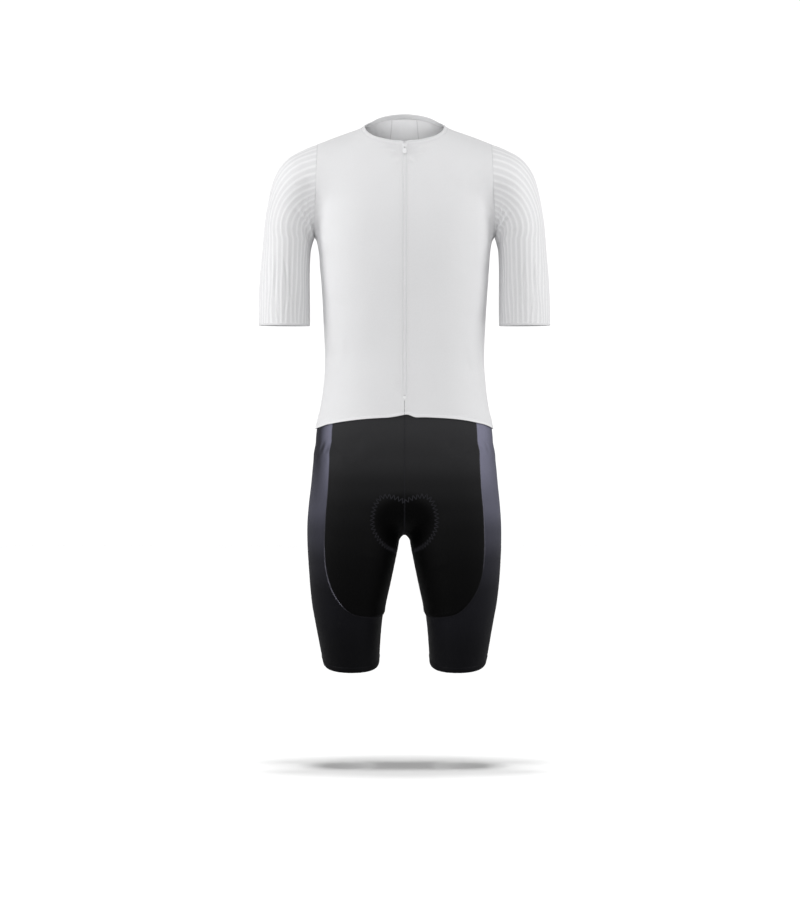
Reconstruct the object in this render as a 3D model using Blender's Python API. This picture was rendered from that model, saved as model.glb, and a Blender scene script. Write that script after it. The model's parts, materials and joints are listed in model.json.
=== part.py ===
"""A cycling skinsuit in its worn form: a short-sleeved jersey with a full zip over fitted shorts.

Lengths here are millimetres and are turned into metres as each mesh is made. +Z is up, the front faces -Y,
the wearer's left is +X, and the origin lies between the shoulders, level with the sides of the neck.

The cloth follows a general figure: a torso, two arms and two legs of oval sections, blended into one form.
Grids of points are cast onto that form from lines inside it, and each piece of cloth is a thin closed wall
on some of a grid's faces, so neighbours share their points and meet at seams 0.3 mm wide.
"""

import math

import bmesh
import bpy
from mathutils import Matrix, Vector
import numpy as np

METRES = 0.001

# Cloth, as distances out from the outer face of the jersey
JERSEY = (-1.2, 0.0)
SHORTS = (-2.7, -1.5)
ZIP_TAPE = (-2.3, -1.5)
ZIP_COIL = (-1.2, 0.5)
ZIP_STOP = (-1.2, 0.9)
SEAT_PAD = (-7.0, -3.0)
SEAM = 0.3

# Heights
ARMPIT = -190.0
FORK = -629.0
FORK_DIP = 30.0
LEG_LEVEL = -728.0
SLEEVE_HEM = -338.0
HEM_FRONT = -491.0
HEM_RISE = 22.0
SHORTS_UNDER_HEM = 26.0
CUFF_SEAM = -825.0
CUFF_DIP = 6.0
LEG_HEM = -908.0
LEG_HEM_TILT = 15.0
ZIP_BOTTOM = -457.0
ZIP_STOP_LENGTH = 6.0
SLIDER_HEIGHT = -39.0

# Zip and neck
ZIP_HALF = 2.4
SLIT_HALF = 0.6
TAPE_SHARE = 0.6
NECK_MIDDLE = (0.0, 3.0, -70.0)
SHOULDER_SEAM_BEHIND = 20.0

# Slider and pull, in the slider's own frame: x across, y up the zip, z out from the cloth
SLIDER_TOP_HALF = 4.6
SLIDER_BOTTOM_HALF = 3.2
SLIDER_HALF_LENGTH = 5.0
SLIDER_BACK = 0.95
SLIDER_FACE = 2.5
BRIDGE_WIDTH = 1.6
BRIDGE_HALF_LENGTH = 3.3
BRIDGE_TOP = 5.8
BRIDGE_BAR = 1.1
BRIDGE_SINK = 0.5
PIN_HEIGHT = 3.6
PULL_THICKNESS = 1.2
PULL_TOP_HALF = 2.7
PULL_END_HALF = 3.3
PULL_LENGTH = 15.0
PULL_PIN_HALF = 0.65
PULL_SLOT_HALF = 1.3
PULL_SLOT_LENGTH = 4.4
PULL_END_STEPS = 6
EDGE_ROUNDING = 0.2
SMOOTH_ANGLE = 40.0

# The armhole and the sleeve
ARMHOLE_X = 150.0
ARMHOLE_LEAN = 3.5
ARMHOLE_MIDDLE = -112.0
ARMHOLE_FRONT_ANGLE = 25.0
ARMHOLE_TOP_ANGLE = 194.0
ARMHOLE_BACK_ANGLE = 335.0
SLEEVE_INNER = 161.0
SLEEVE_ROWS = 8

# How the sections blend
TORSO_POWER = 2.3
LEG_POWER = 2.15
SEAT_LEVEL = -625.0
SEAT_DEPTH = 63.0
LEG_TOP = -555.0
CROTCH_BLEND = 18.0
LEG_BLEND = 16.0

# How the figure is sampled
TINY = 1e-6
CAST_REACH = 320.0
CAST_STEP = 4.0
CAST_HALVINGS = 20
SLOPE_STEP = 0.3
LINE_STEP = 0.01
AXIS_POINTS = 136
# Rows of the grids
CHEST_ROWS = 7
COLUMN_BEND = 2.2
UNDERARM_LIFT = 14.0
LIFT_BEND = 3
BODY_ROWS = 6
HIP_ROWS = 5
UNDERARM_COLUMNS = 4
CROTCH_COLUMNS = 8
CROTCH_MIDDLE = (0.0, 5.0, FORK)
FORK_ROWS = 4
LEG_SIDE_MARGIN = 0.2
LEG_FRONT_ANGLE = -48.0
LEG_BACK_ANGLE = 228.0
THIGH_HEIGHTS = (-757.0, -785.0, -809.0)


def table(names, *rows):
    """Columns of numbers by name, with the rows in rising order of the first column."""
    columns = np.array(sorted(rows), float).T
    return dict(zip(names.split(), columns))


TORSO = table(
    "height half_width front back",
    (45, 56, 50, 64),
    (22, 57, 53, 66),
    (8, 60, 57, 68),
    (-6, 68, 61, 71),
    (-24, 92, 67, 78),
    (-45, 122, 77, 87),
    (-80, 142, 91, 98),
    (-130, 149, 103, 107),
    (-192, 149.5, 107, 110),
    (-226, 145, 105, 108),
    (-274, 141, 101, 102),
    (-314, 138.5, 97, 96),
    (-362, 136, 94, 91),
    (-389, 135, 93, 90),
    (-430, 137, 93.5, 93),
    (-471, 142, 95, 100),
    (-512, 150, 97, 109),
    (-566, 153, 99, 120),
    (-607, 153, 100, 126),
    (-640, 150, 99, 127),
)

LEG = table(
    "height outer inner front back",
    (-560, 150, 0, 92, 105),
    (-607, 158, 2, 97, 118),
    (-634, 163, 4, 98, 120),
    (-675, 166.5, 5, 96, 117),
    (-702, 166.5, 7, 94, 111),
    (-743, 164.5, 15, 89, 98),
    (-784, 161.5, 24, 84, 87),
    (-811, 158.5, 30, 80, 81),
    (-838, 153.5, 35, 77, 76),
    (-865, 148.5, 38, 74, 72),
    (-892, 143.5, 40, 71, 69),
    (-927, 136, 42, 68, 66),
)

# The line over the shoulder and down the outside of the arm, by distance from the middle of the neck,
# with the arm's size across that line and from front to back
ARM = table(
    "place out height across deep middle",
    (0, 0, 14, 110, 110, 6),
    (1, 60, 3, 110, 116, 7),
    (2, 94, -8.5, 108, 120, 7),
    (3, 122, -18.7, 104, 121, 6),
    (4, 148, -28.9, 98, 121, 5),
    (5, 175, -39.1, 92, 119, 4),
    (6, 192, -49.3, 89, 118, 3),
    (7, 204, -59.5, 88, 117, 3),
    (8, 218, -80, 88, 116, 2),
    (9, 225, -100, 87, 114, 1),
    (10, 232, -131, 84, 111, 0),
    (11, 238, -172, 81, 108, -1),
    (12, 241, -212, 81, 105, -2),
    (13, 245, -253, 84, 102, -3),
    (14, 247, -300, 86, 99, -4),
    (15, 247, -345, 86, 97, -5),
    (16, 247, -400, 86, 97, -5),
)

ARM_BLEND = table(
    "height radius",
    (10, 14),
    (-20, 18),
    (-50, 30),
    (-90, 45),
    (-130, 42),
    (-170, 24),
    (-195, 14),
    (-215, 8),
)

# The seam between the front or the back of the shorts and the side panel, out from the middle
SIDE_SEAM = table(
    "height out",
    (-465, 119),
    (-507, 122.5),
    (-549, 126.5),
    (-634, 131.5),
    (-700, 135.5),
    (-736, 135.5),
    (-757, 132.5),
    (-785, 124),
    (-806, 110.5),
    (-825, 88),
)

# Slopes in degrees, by the angle round the neck, of the rays to the band's seam and to its top edge
NECK_SLOPES = table(
    "angle seam edge",
    (0, 24.8, 29.8),
    (25, 24.9, 29.9),
    (35, 25.4, 30.3),
    (46, 27.9, 32.6),
    (55, 31.1, 35.6),
    (67, 36.8, 40.9),
    (79, 42.4, 46.3),
    (97, 45.4, 49),
    (118, 49.8, 53.1),
    (140, 52.2, 55.2),
    (180, 54.3, 57.3),
)

# Lines of the grid from the middle to the armhole: where each crosses the chest and the back at armpit
# level, and the angle round the neck at which it ends
NECK_COLUMNS = table(
    "place chest back neck_front neck_back",
    (0, 0, 0, 0, 180),
    (1, 18, 20, 20, 170),
    (2, 37, 40, 40, 160),
    (3, 56, 61, 60, 139),
    (4, 74, 82, 79, 118),
    (5, 91, 99, 97, 97),
)

# The same lines past the neck, which end on the shoulder seam
SHOULDER_COLUMNS = table(
    "place chest back shoulder",
    (6, 107, 114, 91),
    (7, 121, 126, 109),
    (8, 134, 137, 128),
)

NECK_LINES = len(NECK_COLUMNS["place"])
CHEST_LINES = NECK_LINES + len(SHOULDER_COLUMNS["place"])
UNDERARM = CHEST_LINES
HALF_RING = 2 * CHEST_LINES + UNDERARM_COLUMNS
FRONT_SEAM_COLUMN = 7
SIDE_COLUMN = HALF_RING // 2
JERSEY_SIDE_SEAM = SIDE_COLUMN + 1
BACK_SEAM_COLUMN = HALF_RING - FRONT_SEAM_COLUMN
CENTRE_BACK_COLUMN = HALF_RING - 2
CENTRE_BACK_HALF = 60.0
PAD_FRONT_COLUMN = 3
PAD_ROWS = 2


def between(knots, values, at):
    """Values on a smooth curve through the knots, held level past its ends."""
    slopes = np.gradient(values, knots)
    place = np.clip(at, knots[0], knots[-1])
    left = np.clip(np.searchsorted(knots, place) - 1, 0, len(knots) - 2)
    width = knots[left + 1] - knots[left]
    t = (place - knots[left]) / width
    rise = t * t * (3 - 2 * t)
    start_slope = t * (1 - t) ** 2 * width
    end_slope = t * t * (t - 1) * width
    level = values[left] * (1 - rise) + values[left + 1] * rise
    return level + slopes[left] * start_slope + slopes[left + 1] * end_slope


def at_height(rows, name, height):
    return between(rows["height"], rows[name], height)


def blend(first, second, radius):
    """The nearer of two surfaces, with a rounded valley where they meet."""
    share = np.clip(0.5 + 0.5 * (second - first) / radius, 0, 1)
    return second * (1 - share) + first * share - radius * share * (1 - share)


def oval_reach(x, y, half_width, half_depth, power):
    """How far out a point is in an oval section: 1 on its edge."""
    return (np.abs(x / half_width) ** power + np.abs(y / half_depth) ** power) ** (1 / power)


def torso(x, y, z):
    """Distance out from the torso, which closes under the seat in a bowl."""
    level = np.maximum(z, SEAT_LEVEL)
    depth = np.where(y < 0, at_height(TORSO, "front", level), at_height(TORSO, "back", level))
    across = oval_reach(x, y, at_height(TORSO, "half_width", level), depth, TORSO_POWER)
    below = np.minimum(z - SEAT_LEVEL, 0)
    reach = np.hypot(across, below / SEAT_DEPTH)
    return np.sqrt(x * x + y * y + below * below) * (1 - 1 / reach)


def leg(x, y, z):
    """Distance out from the leg on the +X side."""
    outer, inner, front, back = (at_height(LEG, name, z) for name in ("outer", "inner", "front", "back"))
    side = x - (outer + inner) / 2
    fore = y - (back - front) / 2
    reach = oval_reach(side, fore, (outer - inner) / 2, (front + back) / 2, LEG_POWER)
    return np.maximum(np.hypot(side, fore) * (1 - 1 / reach), z - LEG_TOP)


def arm_line(share):
    """Places along the arm's outer line: its points and the directions out of the arm there."""

    def line(place):
        return np.stack([between(ARM["place"], ARM[name], place) for name in ("out", "height")], -1)

    place = share * ARM["place"][-1]
    run = line(place + LINE_STEP) - line(place - LINE_STEP)
    run = run / np.linalg.norm(run, axis=-1, keepdims=True)
    return line(place), np.stack([-run[..., 1], run[..., 0]], -1)


def arm_axis():
    """The line through the middle of the shoulder and the arm, with the arm's half sizes along it."""
    share = np.linspace(0, 1, AXIS_POINTS)
    place = share * ARM["place"][-1]
    edge, outward = arm_line(share)
    across, deep, middle = (between(ARM["place"], ARM[name], place) for name in ("across", "deep", "middle"))
    return edge - outward * across[:, None] / 2, across / 2, deep / 2, middle


AXIS, ARM_ACROSS, ARM_DEEP, ARM_MIDDLE = arm_axis()


def arm(x, y, z):
    """Distance out from the shoulder and arm on the +X side."""
    here = np.stack([x, z], -1)[..., None, :]
    start = AXIS[:-1]
    run = AXIS[1:] - start
    t = np.clip(((here - start) * run).sum(-1) / (run * run).sum(-1), 0, 1)
    away = np.linalg.norm(here - start - t[..., None] * run, axis=-1)
    nearest = away.argmin(-1)
    pick = nearest[..., None]
    t = np.take_along_axis(t, pick, -1)[..., 0]
    away = np.take_along_axis(away, pick, -1)[..., 0]
    across, deep, middle = (
        values[nearest] * (1 - t) + values[nearest + 1] * t for values in (ARM_ACROSS, ARM_DEEP, ARM_MIDDLE)
    )
    fore = y - middle
    reach = np.maximum(np.hypot(away / across, fore / deep), TINY)
    return np.maximum(np.hypot(away, fore), TINY) * (1 - 1 / reach)


def figure(points):
    """Distance out from the general figure, whose surface is the outer face of the jersey."""
    x = np.abs(points[..., 0]) + TINY
    y, z = points[..., 1], points[..., 2]
    legs = blend(leg(x, y, z), leg(-x, y, z), LEG_BLEND)
    body = blend(torso(x, y, z), legs, CROTCH_BLEND)
    return blend(body, arm(x, y, z), at_height(ARM_BLEND, "radius", z))


def left_half(points):
    """The part of the figure on the +X side."""
    return np.maximum(figure(points), LEG_SIDE_MARGIN - points[..., 0])


def cast(start, toward, inside=figure):
    """Where rays from inside the figure leave it."""
    toward = np.asarray(toward, float)
    start = np.broadcast_to(np.asarray(start, float), toward.shape)
    toward = toward / np.linalg.norm(toward, axis=-1, keepdims=True)
    steps = np.arange(0.0, CAST_REACH, CAST_STEP)
    out = inside(start[..., None, :] + steps[:, None] * toward[..., None, :]) > 0
    first = out.argmax(-1)
    if (first == 0).any():
        raise ValueError("a ray starts outside the figure or never leaves it")
    low, high = steps[first - 1], steps[first]
    for _ in range(CAST_HALVINGS):
        middle = (low + high) / 2
        past = inside(start + middle[..., None] * toward) > 0
        low, high = np.where(past, low, middle), np.where(past, middle, high)
    return start + ((low + high) / 2)[..., None] * toward


def outward(points):
    """Directions straight out of the figure."""
    steps = np.eye(3) * SLOPE_STEP
    slope = np.stack([figure(points + step) - figure(points - step) for step in steps], -1)
    return slope / np.linalg.norm(slope, axis=-1, keepdims=True)


def level_directions(degrees):
    """Level directions by angle from the front, turning towards +X."""
    turn = np.radians(degrees)
    return np.stack([np.sin(turn), -np.cos(turn), np.zeros_like(turn)], -1)


def angle_of(points, middle):
    """The level angle of points from the front, turning towards +X, round a middle."""
    away = points - middle
    return np.degrees(np.arctan2(away[..., 0], -away[..., 1]))


def level_ring(degrees, heights, middle=(0.0, 0.0), inside=figure):
    """Points of a ring cast level from an upright line."""
    start = np.stack([np.full_like(heights, middle[0]), np.full_like(heights, middle[1]), heights], -1)
    return cast(start, level_directions(degrees), inside)


def front_point(x, height, toward=-1.0, inside=figure):
    """A point on the front of the figure, or with toward 1 on its back, in the upright plane at x."""
    return cast((x, 0.0, height), (0.0, toward, 0.0), inside)


def hem_height(degrees):
    """The jersey's hem, raised at the front."""
    turn = np.radians(np.minimum(degrees, 90.0))
    return HEM_FRONT - HEM_RISE * np.sin(turn) ** 4


def neck_ring(degrees, line):
    """Points round the neck on the band's seam or edge, low at the throat and high at the nape."""
    rise = np.tan(np.radians(between(NECK_SLOPES["angle"], NECK_SLOPES[line], degrees)))
    toward = level_directions(degrees)
    toward[..., 2] = rise
    return cast(NECK_MIDDLE, toward)


def zip_angle(line):
    """The angle round the neck of the front's zip edge."""
    throat = neck_ring(np.zeros(1), line)[0]
    return math.degrees(math.asin(ZIP_HALF / (NECK_MIDDLE[1] - throat[1])))


def armhole_points(degrees):
    """Points of the armhole by angle from its bottom, turning over the front to the top."""
    turn = np.radians(degrees)
    zero = np.zeros_like(turn)
    start = np.stack([ARMHOLE_X + ARMHOLE_LEAN * np.cos(turn), zero, zero + ARMHOLE_MIDDLE], -1)
    return cast(start, np.stack([zero, -np.sin(turn), -np.cos(turn)], -1))


def armhole_angles():
    """The angles of the armhole's points: up the front, down the back, and along under the arm."""
    front = np.linspace(ARMHOLE_FRONT_ANGLE, ARMHOLE_TOP_ANGLE, CHEST_ROWS + 1)
    back = np.linspace(ARMHOLE_TOP_ANGLE, ARMHOLE_BACK_ANGLE, CHEST_ROWS + 1)
    under = np.linspace(ARMHOLE_BACK_ANGLE, 360 + ARMHOLE_FRONT_ANGLE, UNDERARM_COLUMNS + 1)
    return np.concatenate([front, back[1:], under[1:]])


def shoulder_point(x):
    """A point of the shoulder seam, a little behind the top of the shoulder."""
    return cast((x, SHOULDER_SEAM_BEHIND, ARMHOLE_MIDDLE), (0.0, 0.0, 1.0))


def fan_rows(low, high, middle_height, toward):
    """Points from the armpit row up to the top row, cast in upright planes from a line inside the chest.

    The line lies at middle_height. The rays turn from the low point to the high one, and toward is -1 on
    the front and 1 on the back.
    """
    share = np.arange(1, CHEST_ROWS) / CHEST_ROWS
    ends = [math.atan2(p[2] - middle_height, toward * p[1]) for p in (low, high)]
    turn = ends[0] + (ends[1] - ends[0]) * share
    x = low[0] + (high[0] - low[0]) * share**COLUMN_BEND
    start = np.stack([x, 0 * x, 0 * x + middle_height], -1)
    rows = cast(start, np.stack([0 * x, toward * np.cos(turn), np.sin(turn)], -1))
    return np.concatenate([[low], rows, [high]])


def chest_grid(side):
    """The front or the back above the armpits, from its middle to the armhole."""
    toward = -1.0 if side == "chest" else 1.0
    neck_angles = NECK_COLUMNS["neck_front" if side == "chest" else "neck_back"].copy()
    if side == "chest":
        neck_angles[0] = zip_angle("seam")
    tops = list(neck_ring(neck_angles, "seam"))
    tops += [shoulder_point(x) for x in SHOULDER_COLUMNS["shoulder"]]
    starts = np.concatenate([NECK_COLUMNS[side], SHOULDER_COLUMNS[side]])
    if side == "chest":
        starts[0] = ZIP_HALF
    columns = []
    for place, (x, top) in enumerate(zip(starts, tops)):
        rise = (place / CHEST_LINES) ** LIFT_BEND
        low = front_point(x, ARMPIT + UNDERARM_LIFT * rise, toward)
        columns.append(fan_rows(low, top, ARMPIT + (ARMHOLE_MIDDLE - ARMPIT) * rise, toward))
    angles = armhole_angles()
    edge = armhole_points(angles[: CHEST_ROWS + 1])
    if side == "back":
        edge = armhole_points(angles[CHEST_ROWS : 2 * CHEST_ROWS + 1][::-1])
    columns.append(edge)
    return np.stack(columns, 1)


def fork_height(degrees):
    """The lowest row of the hips, which dips in the middle of the front and the back."""
    return FORK - FORK_DIP * np.cos(np.radians(degrees)) ** 8


def hip_angles(height):
    """Angles of the ring's columns, set by the seams that the ring crosses and even between them."""
    out = at_height(SIDE_SEAM, "out", height)
    front = float(angle_of(front_point(out, height), (0.0, 0.0, height)))
    back = float(angle_of(front_point(out, height, 1.0), (0.0, 0.0, height)))
    centre = float(angle_of(front_point(CENTRE_BACK_HALF, height, 1.0), (0.0, 0.0, height)))
    stops = (0, FRONT_SEAM_COLUMN, SIDE_COLUMN, BACK_SEAM_COLUMN, CENTRE_BACK_COLUMN, HALF_RING)
    return np.interp(np.arange(HALF_RING + 1), stops, (0.0, front, 90.0, back, centre, 180.0))


def hip_grid():
    """The shorts from their top edge, under the jersey, down to the fork."""
    hem = hem_height(hip_angles(HEM_FRONT - HEM_RISE / 2))
    fork = fork_height(hip_angles(FORK))
    levels = [hem + SHORTS_UNDER_HEM] + [hem + (fork - hem) * row / HIP_ROWS for row in range(HIP_ROWS + 1)]
    return np.stack([level_ring(hip_angles(heights.mean()), heights) for heights in levels])


def body_grid(chest, back, hips):
    """The jersey from the armpits down to its hem, sharing the shorts' top two rows."""
    under = armhole_points(armhole_angles()[2 * CHEST_ROWS :][::-1])
    top = np.concatenate([chest[0, :UNDERARM], under, back[0, :UNDERARM][::-1]])
    first, last = angle_of(top, np.zeros(3)), angle_of(hips[0], np.zeros(3))
    rows = [top]
    for row in range(1, BODY_ROWS):
        share = row / BODY_ROWS
        heights = top[:, 2] + (hips[0, :, 2] - top[:, 2]) * share
        rows.append(level_ring(first + (last - first) * share, heights))
    grid = np.stack(rows + [hips[0], hips[1]])
    for row in range(1, len(grid)):
        half = SLIT_HALF if row == len(grid) - 1 else ZIP_HALF
        grid[row, 0] = front_point(half, grid[row, 0, 2])
    return grid


def leg_middle(heights):
    """The upright middle line of the leg's sections at these heights."""
    outer, inner, front, back = (at_height(LEG, name, heights) for name in ("outer", "inner", "front", "back"))
    return (outer + inner) / 2, (back - front) / 2


def leg_angles(height):
    """Angles of a level leg ring's columns round the leg's middle."""
    middle = [float(value) for value in leg_middle(np.float64(height))]
    out = float(at_height(SIDE_SEAM, "out", height))
    centre = (middle[0], middle[1], height)
    front = float(angle_of(cast((out, middle[1], height), (0.0, -1.0, 0.0)), centre))
    back = float(angle_of(cast((out, middle[1], height), (0.0, 1.0, 0.0)), centre)) % 360
    stops = (0, FRONT_SEAM_COLUMN, SIDE_COLUMN, BACK_SEAM_COLUMN, HALF_RING, HALF_RING + CROTCH_COLUMNS)
    angles = (LEG_FRONT_ANGLE, front, 90.0, back, LEG_BACK_ANGLE, LEG_FRONT_ANGLE + 360.0)
    return np.interp(np.arange(stops[-1] + 1), stops, angles)


def crotch_curve(hips):
    """Points of the lowest hip row and, from its back to its front, of the crotch in the middle plane."""
    away = hips[-1, [-1, 0]] - CROTCH_MIDDLE
    turn = np.linspace(*np.arctan2(-away[:, 2], away[:, 1]), CROTCH_COLUMNS + 1)[1:-1]
    toward = np.stack([0 * turn, np.cos(turn), -np.sin(turn)], -1)
    return np.concatenate([hips[-1], cast(CROTCH_MIDDLE, toward), hips[-1, :1]])


def cuff_seam_height(count):
    """Height of the seam between the lower leg and the panels above it, dipping on the front and back."""
    column = np.arange(count)
    inseam = HALF_RING + CROTCH_COLUMNS / 2
    from_side = np.where(column <= SIDE_COLUMN, FRONT_SEAM_COLUMN - column, column - BACK_SEAM_COLUMN)
    from_side = np.where(column > inseam, count - 1 - column + FRONT_SEAM_COLUMN, from_side)
    share = np.clip(from_side / (inseam - BACK_SEAM_COLUMN), 0, 1)
    return CUFF_SEAM - CUFF_DIP * np.sin(np.pi * share)


def leg_grid(hips):
    """The leg on the +X side, from the fork and the crotch down to its hem."""
    fork = crotch_curve(hips)
    start = np.stack([*leg_middle(fork[:, 2]), fork[:, 2]], -1)
    first = np.degrees(np.unwrap(np.radians(angle_of(fork, start))))
    level = leg_angles(LEG_LEVEL)
    rows = [fork]
    for row in range(1, FORK_ROWS + 1):
        share = row / FORK_ROWS
        heights = fork[:, 2] + (LEG_LEVEL - fork[:, 2]) * share
        rows.append(leg_ring(first + (level - first) * share, heights))
    for height in THIGH_HEIGHTS:
        rows.append(leg_ring(leg_angles(height), np.full(len(fork), height)))
    cuff = cuff_seam_height(len(fork))
    seam_angles = leg_angles(CUFF_SEAM)
    rows.append(leg_ring(seam_angles, cuff))
    hem_angles = np.linspace(LEG_FRONT_ANGLE, LEG_FRONT_ANGLE + 360.0, len(fork))
    hem = LEG_HEM - LEG_HEM_TILT * np.cos(np.radians(hem_angles))
    rows.append(leg_ring((seam_angles + hem_angles) / 2, (cuff + hem) / 2))
    rows.append(leg_ring(hem_angles, hem))
    return np.stack(rows)


def leg_ring(degrees, heights):
    """A ring cast level from the leg's middle line, kept to the leg's own side."""
    start = np.stack([*leg_middle(heights), heights], -1)
    ring = cast(start, level_directions(degrees), left_half)
    ring[-1] = ring[0]
    return ring


def sleeve_grid():
    """The sleeve, from the armhole down to its hem, in planes that turn from upright to level."""
    angles = armhole_angles()
    rows = [armhole_points(angles)]
    even = np.linspace(angles[0], angles[-1], len(angles))
    shares = np.linspace(0, 1, 400)
    edge = arm_line(shares)[0]
    edge = edge[(edge[:, 0] >= ARMHOLE_X) & (edge[:, 1] >= SLEEVE_HEM)]
    run = np.concatenate([[0.0], np.cumsum(np.linalg.norm(np.diff(edge, axis=0), axis=1))])
    for row in range(1, SLEEVE_ROWS + 1):
        share = row / SLEEVE_ROWS
        outer = np.array([np.interp(share * run[-1], run, edge[:, axis]) for axis in (0, 1)])
        inner = np.array([SLEEVE_INNER, ARMPIT + (SLEEVE_HEM - ARMPIT) * share])
        middle = (outer + inner) / 2
        up = (outer - inner) / np.linalg.norm(outer - inner)
        turn = np.radians(angles + (even - angles) * share)
        toward = np.stack([-np.cos(turn) * up[0], -np.sin(turn), -np.cos(turn) * up[1]], -1)
        rows.append(cast((middle[0], 0.0, middle[1]), toward))
    grid = np.stack(rows)
    grid[:, -1] = grid[:, 0]
    return grid


def band_grid():
    """The neck band, from the zip round to the nape: its seam and its top edge."""
    rows = []
    for line in ("seam", "edge"):
        angles = np.concatenate([NECK_COLUMNS["neck_front"], NECK_COLUMNS["neck_back"][-2::-1]])
        angles[0] = zip_angle(line)
        rows.append(neck_ring(angles, line))
    return np.stack(rows)


class Form:
    """Points on the figure, the directions out of it there, and where each is stored."""

    def __init__(self):
        self.points = []
        self.index = {}

    def add(self, grid):
        """The grid's points by number. Points within a micrometre of each other are one."""
        numbers = np.empty(grid.shape[:-1], int)
        for place in np.ndindex(numbers.shape):
            point = grid[place]
            key = tuple(int(value) for value in np.round(point * 1000))
            if key not in self.index:
                self.index[key] = len(self.points)
                self.points.append(point)
            numbers[place] = self.index[key]
        return numbers

    def add_pair(self, grid):
        """The grid and its mirror image, as numbers."""
        return self.add(grid), self.add(grid * (-1.0, 1.0, 1.0))

    def finish(self):
        self.points = np.array(self.points)
        self.normals = outward(self.points)
        middle = np.abs(self.points[:, 0]) < 1e-3
        self.normals[middle, 0] = 0
        self.normals /= np.linalg.norm(self.normals, axis=1, keepdims=True)

    def triangles(self, numbers, rows=slice(None), columns=slice(None)):
        """Triangles of a stretch of a grid, all facing out, with each square cut at its shorter diagonal."""
        part = numbers[rows, columns]
        faces = []
        for row, column in np.ndindex(part.shape[0] - 1, part.shape[1] - 1):
            a, b = part[row, column], part[row, column + 1]
            c, d = part[row + 1, column + 1], part[row + 1, column]
            across = np.linalg.norm(self.points[[a, b]] - self.points[[c, d]], axis=1)
            faces += ((a, b, c), (a, c, d)) if across[0] <= across[1] else ((a, b, d), (b, c, d))
        corners = self.points[np.array(faces)]
        turned = np.cross(corners[:, 1] - corners[:, 0], corners[:, 2] - corners[:, 0])
        faces_out = (turned * self.normals[np.array(faces)].sum(1)).sum() > 0
        return [face if faces_out else face[::-1] for face in faces]


def material(name, colour, roughness, metallic=0.0):
    made = bpy.data.materials.new(name)
    made.use_nodes = True
    surface = made.node_tree.nodes["Principled BSDF"]
    surface.inputs["Base Color"].default_value = (*colour, 1.0)
    surface.inputs["Roughness"].default_value = roughness
    surface.inputs["Metallic"].default_value = metallic
    return made


def new_object(name, points, faces, look, parent=None):
    """An object from points in metres, smooth where it bends little."""
    mesh = bpy.data.meshes.new(name)
    mesh.from_pydata([tuple(point) for point in points], [], faces)
    mesh.update()
    mesh.shade_smooth()
    mesh.set_sharp_from_angle(angle=math.radians(SMOOTH_ANGLE))
    mesh.materials.append(look)
    made = bpy.data.objects.new(name, mesh)
    made.parent = parent
    bpy.context.scene.collection.objects.link(made)
    return made


def open_edges(triangles):
    """Edges with a triangle on one side only, each in its triangle's direction."""
    edges = {(face[k], face[(k + 1) % 3]) for face in triangles for k in range(3)}
    return [edge for edge in edges if edge[::-1] not in edges]


def seam_insets(form, border, inset):
    """How far each point of the border moves in, so that the edges on both sides of it move in alike."""
    inward = {}
    for start, end in border:
        run = form.points[end] - form.points[start]
        normal = form.normals[start] + form.normals[end]
        side = np.cross(normal, run)
        side /= np.linalg.norm(side)
        inward.setdefault(start, []).append(side)
        inward.setdefault(end, []).append(side)
    moves = {}
    for point, sides in inward.items():
        total = np.sum(sides, axis=0)
        moves[point] = inset * 2 * total / max(np.dot(total, total), 1.0)
    return moves


def wall(form, name, triangles, layer, look, inset=SEAM / 2):
    """A closed sheet on these triangles, between two distances out from the figure."""
    border = sorted(open_edges(triangles))
    moves = seam_insets(form, border, inset)
    used = sorted({int(point) for face in triangles for point in face})
    place = {point: order for order, point in enumerate(used)}
    count = len(used)
    flat = np.array([form.points[p] + moves.get(p, 0.0) for p in used])
    normals = form.normals[used]
    points = np.concatenate([flat + normals * layer[1], flat + normals * layer[0]]) * METRES
    faces = [tuple(place[p] for p in face) for face in triangles]
    faces += [tuple(place[p] + count for p in face[::-1]) for face in triangles]
    for start, end in border:
        a, b = place[start], place[end]
        # Both sides of a seam cut their squares alike, so that twisted walls stay parallel
        if start < end:
            faces += [(b, a, b + count), (a, a + count, b + count)]
        else:
            faces += [(b, a, a + count), (b, a + count, b + count)]
    return new_object(name, points, faces, look)


def zip_columns(body, chest, band):
    """The front's zip edge and the line next to it, from the bottom of the zip to the top of the neck."""
    rows = [body[row, :2] for row in range(len(body) - 2)][::-1]
    low, high = body[-2, :2], body[-3, :2]
    share = (ZIP_BOTTOM - low[0, 2]) / (high[0, 2] - low[0, 2])
    rows = [low + (high - low) * share] + rows
    rows += [chest[row, :2] for row in range(1, len(chest))]
    rows.append(band[1, :2])
    return np.stack(rows)


def tape_grid(edges):
    """A zip tape under the front's edge, from the middle of the zip to its outer edge."""
    outer = edges[:, 0] + (edges[:, 1] - edges[:, 0]) * TAPE_SHARE
    middle = np.stack([front_point(SEAM / 2, height) for height in edges[:, 0, 2]])
    return np.stack([middle, edges[:, 0], outer], 1)


def strip_grid(heights, half_width):
    """A strip down the middle of the front."""
    half = np.stack([front_point(half_width, height) for height in heights])
    return np.stack([half * (-1.0, 1.0, 1.0), half], 1)


def prism(name, outline, low, high, axes, look):
    """A closed block of an outline in one plane, from low to high along the third of the axes."""
    count = len(outline)
    flat = [(*point, level) for level in (low, high) for point in outline]
    points = np.zeros((2 * count, 3))
    points[:, list(axes)] = flat
    sides = [(k, (k + 1) % count, (k + 1) % count + count, k + count) for k in range(count)]
    faces = [tuple(reversed(range(count))), tuple(range(count, 2 * count)), *sides]
    made = new_object(name, points * METRES, faces, look)
    shape = bmesh.new()
    shape.from_mesh(made.data)
    bmesh.ops.recalc_face_normals(shape, faces=shape.faces)
    shape.to_mesh(made.data)
    shape.free()
    return made


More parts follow.
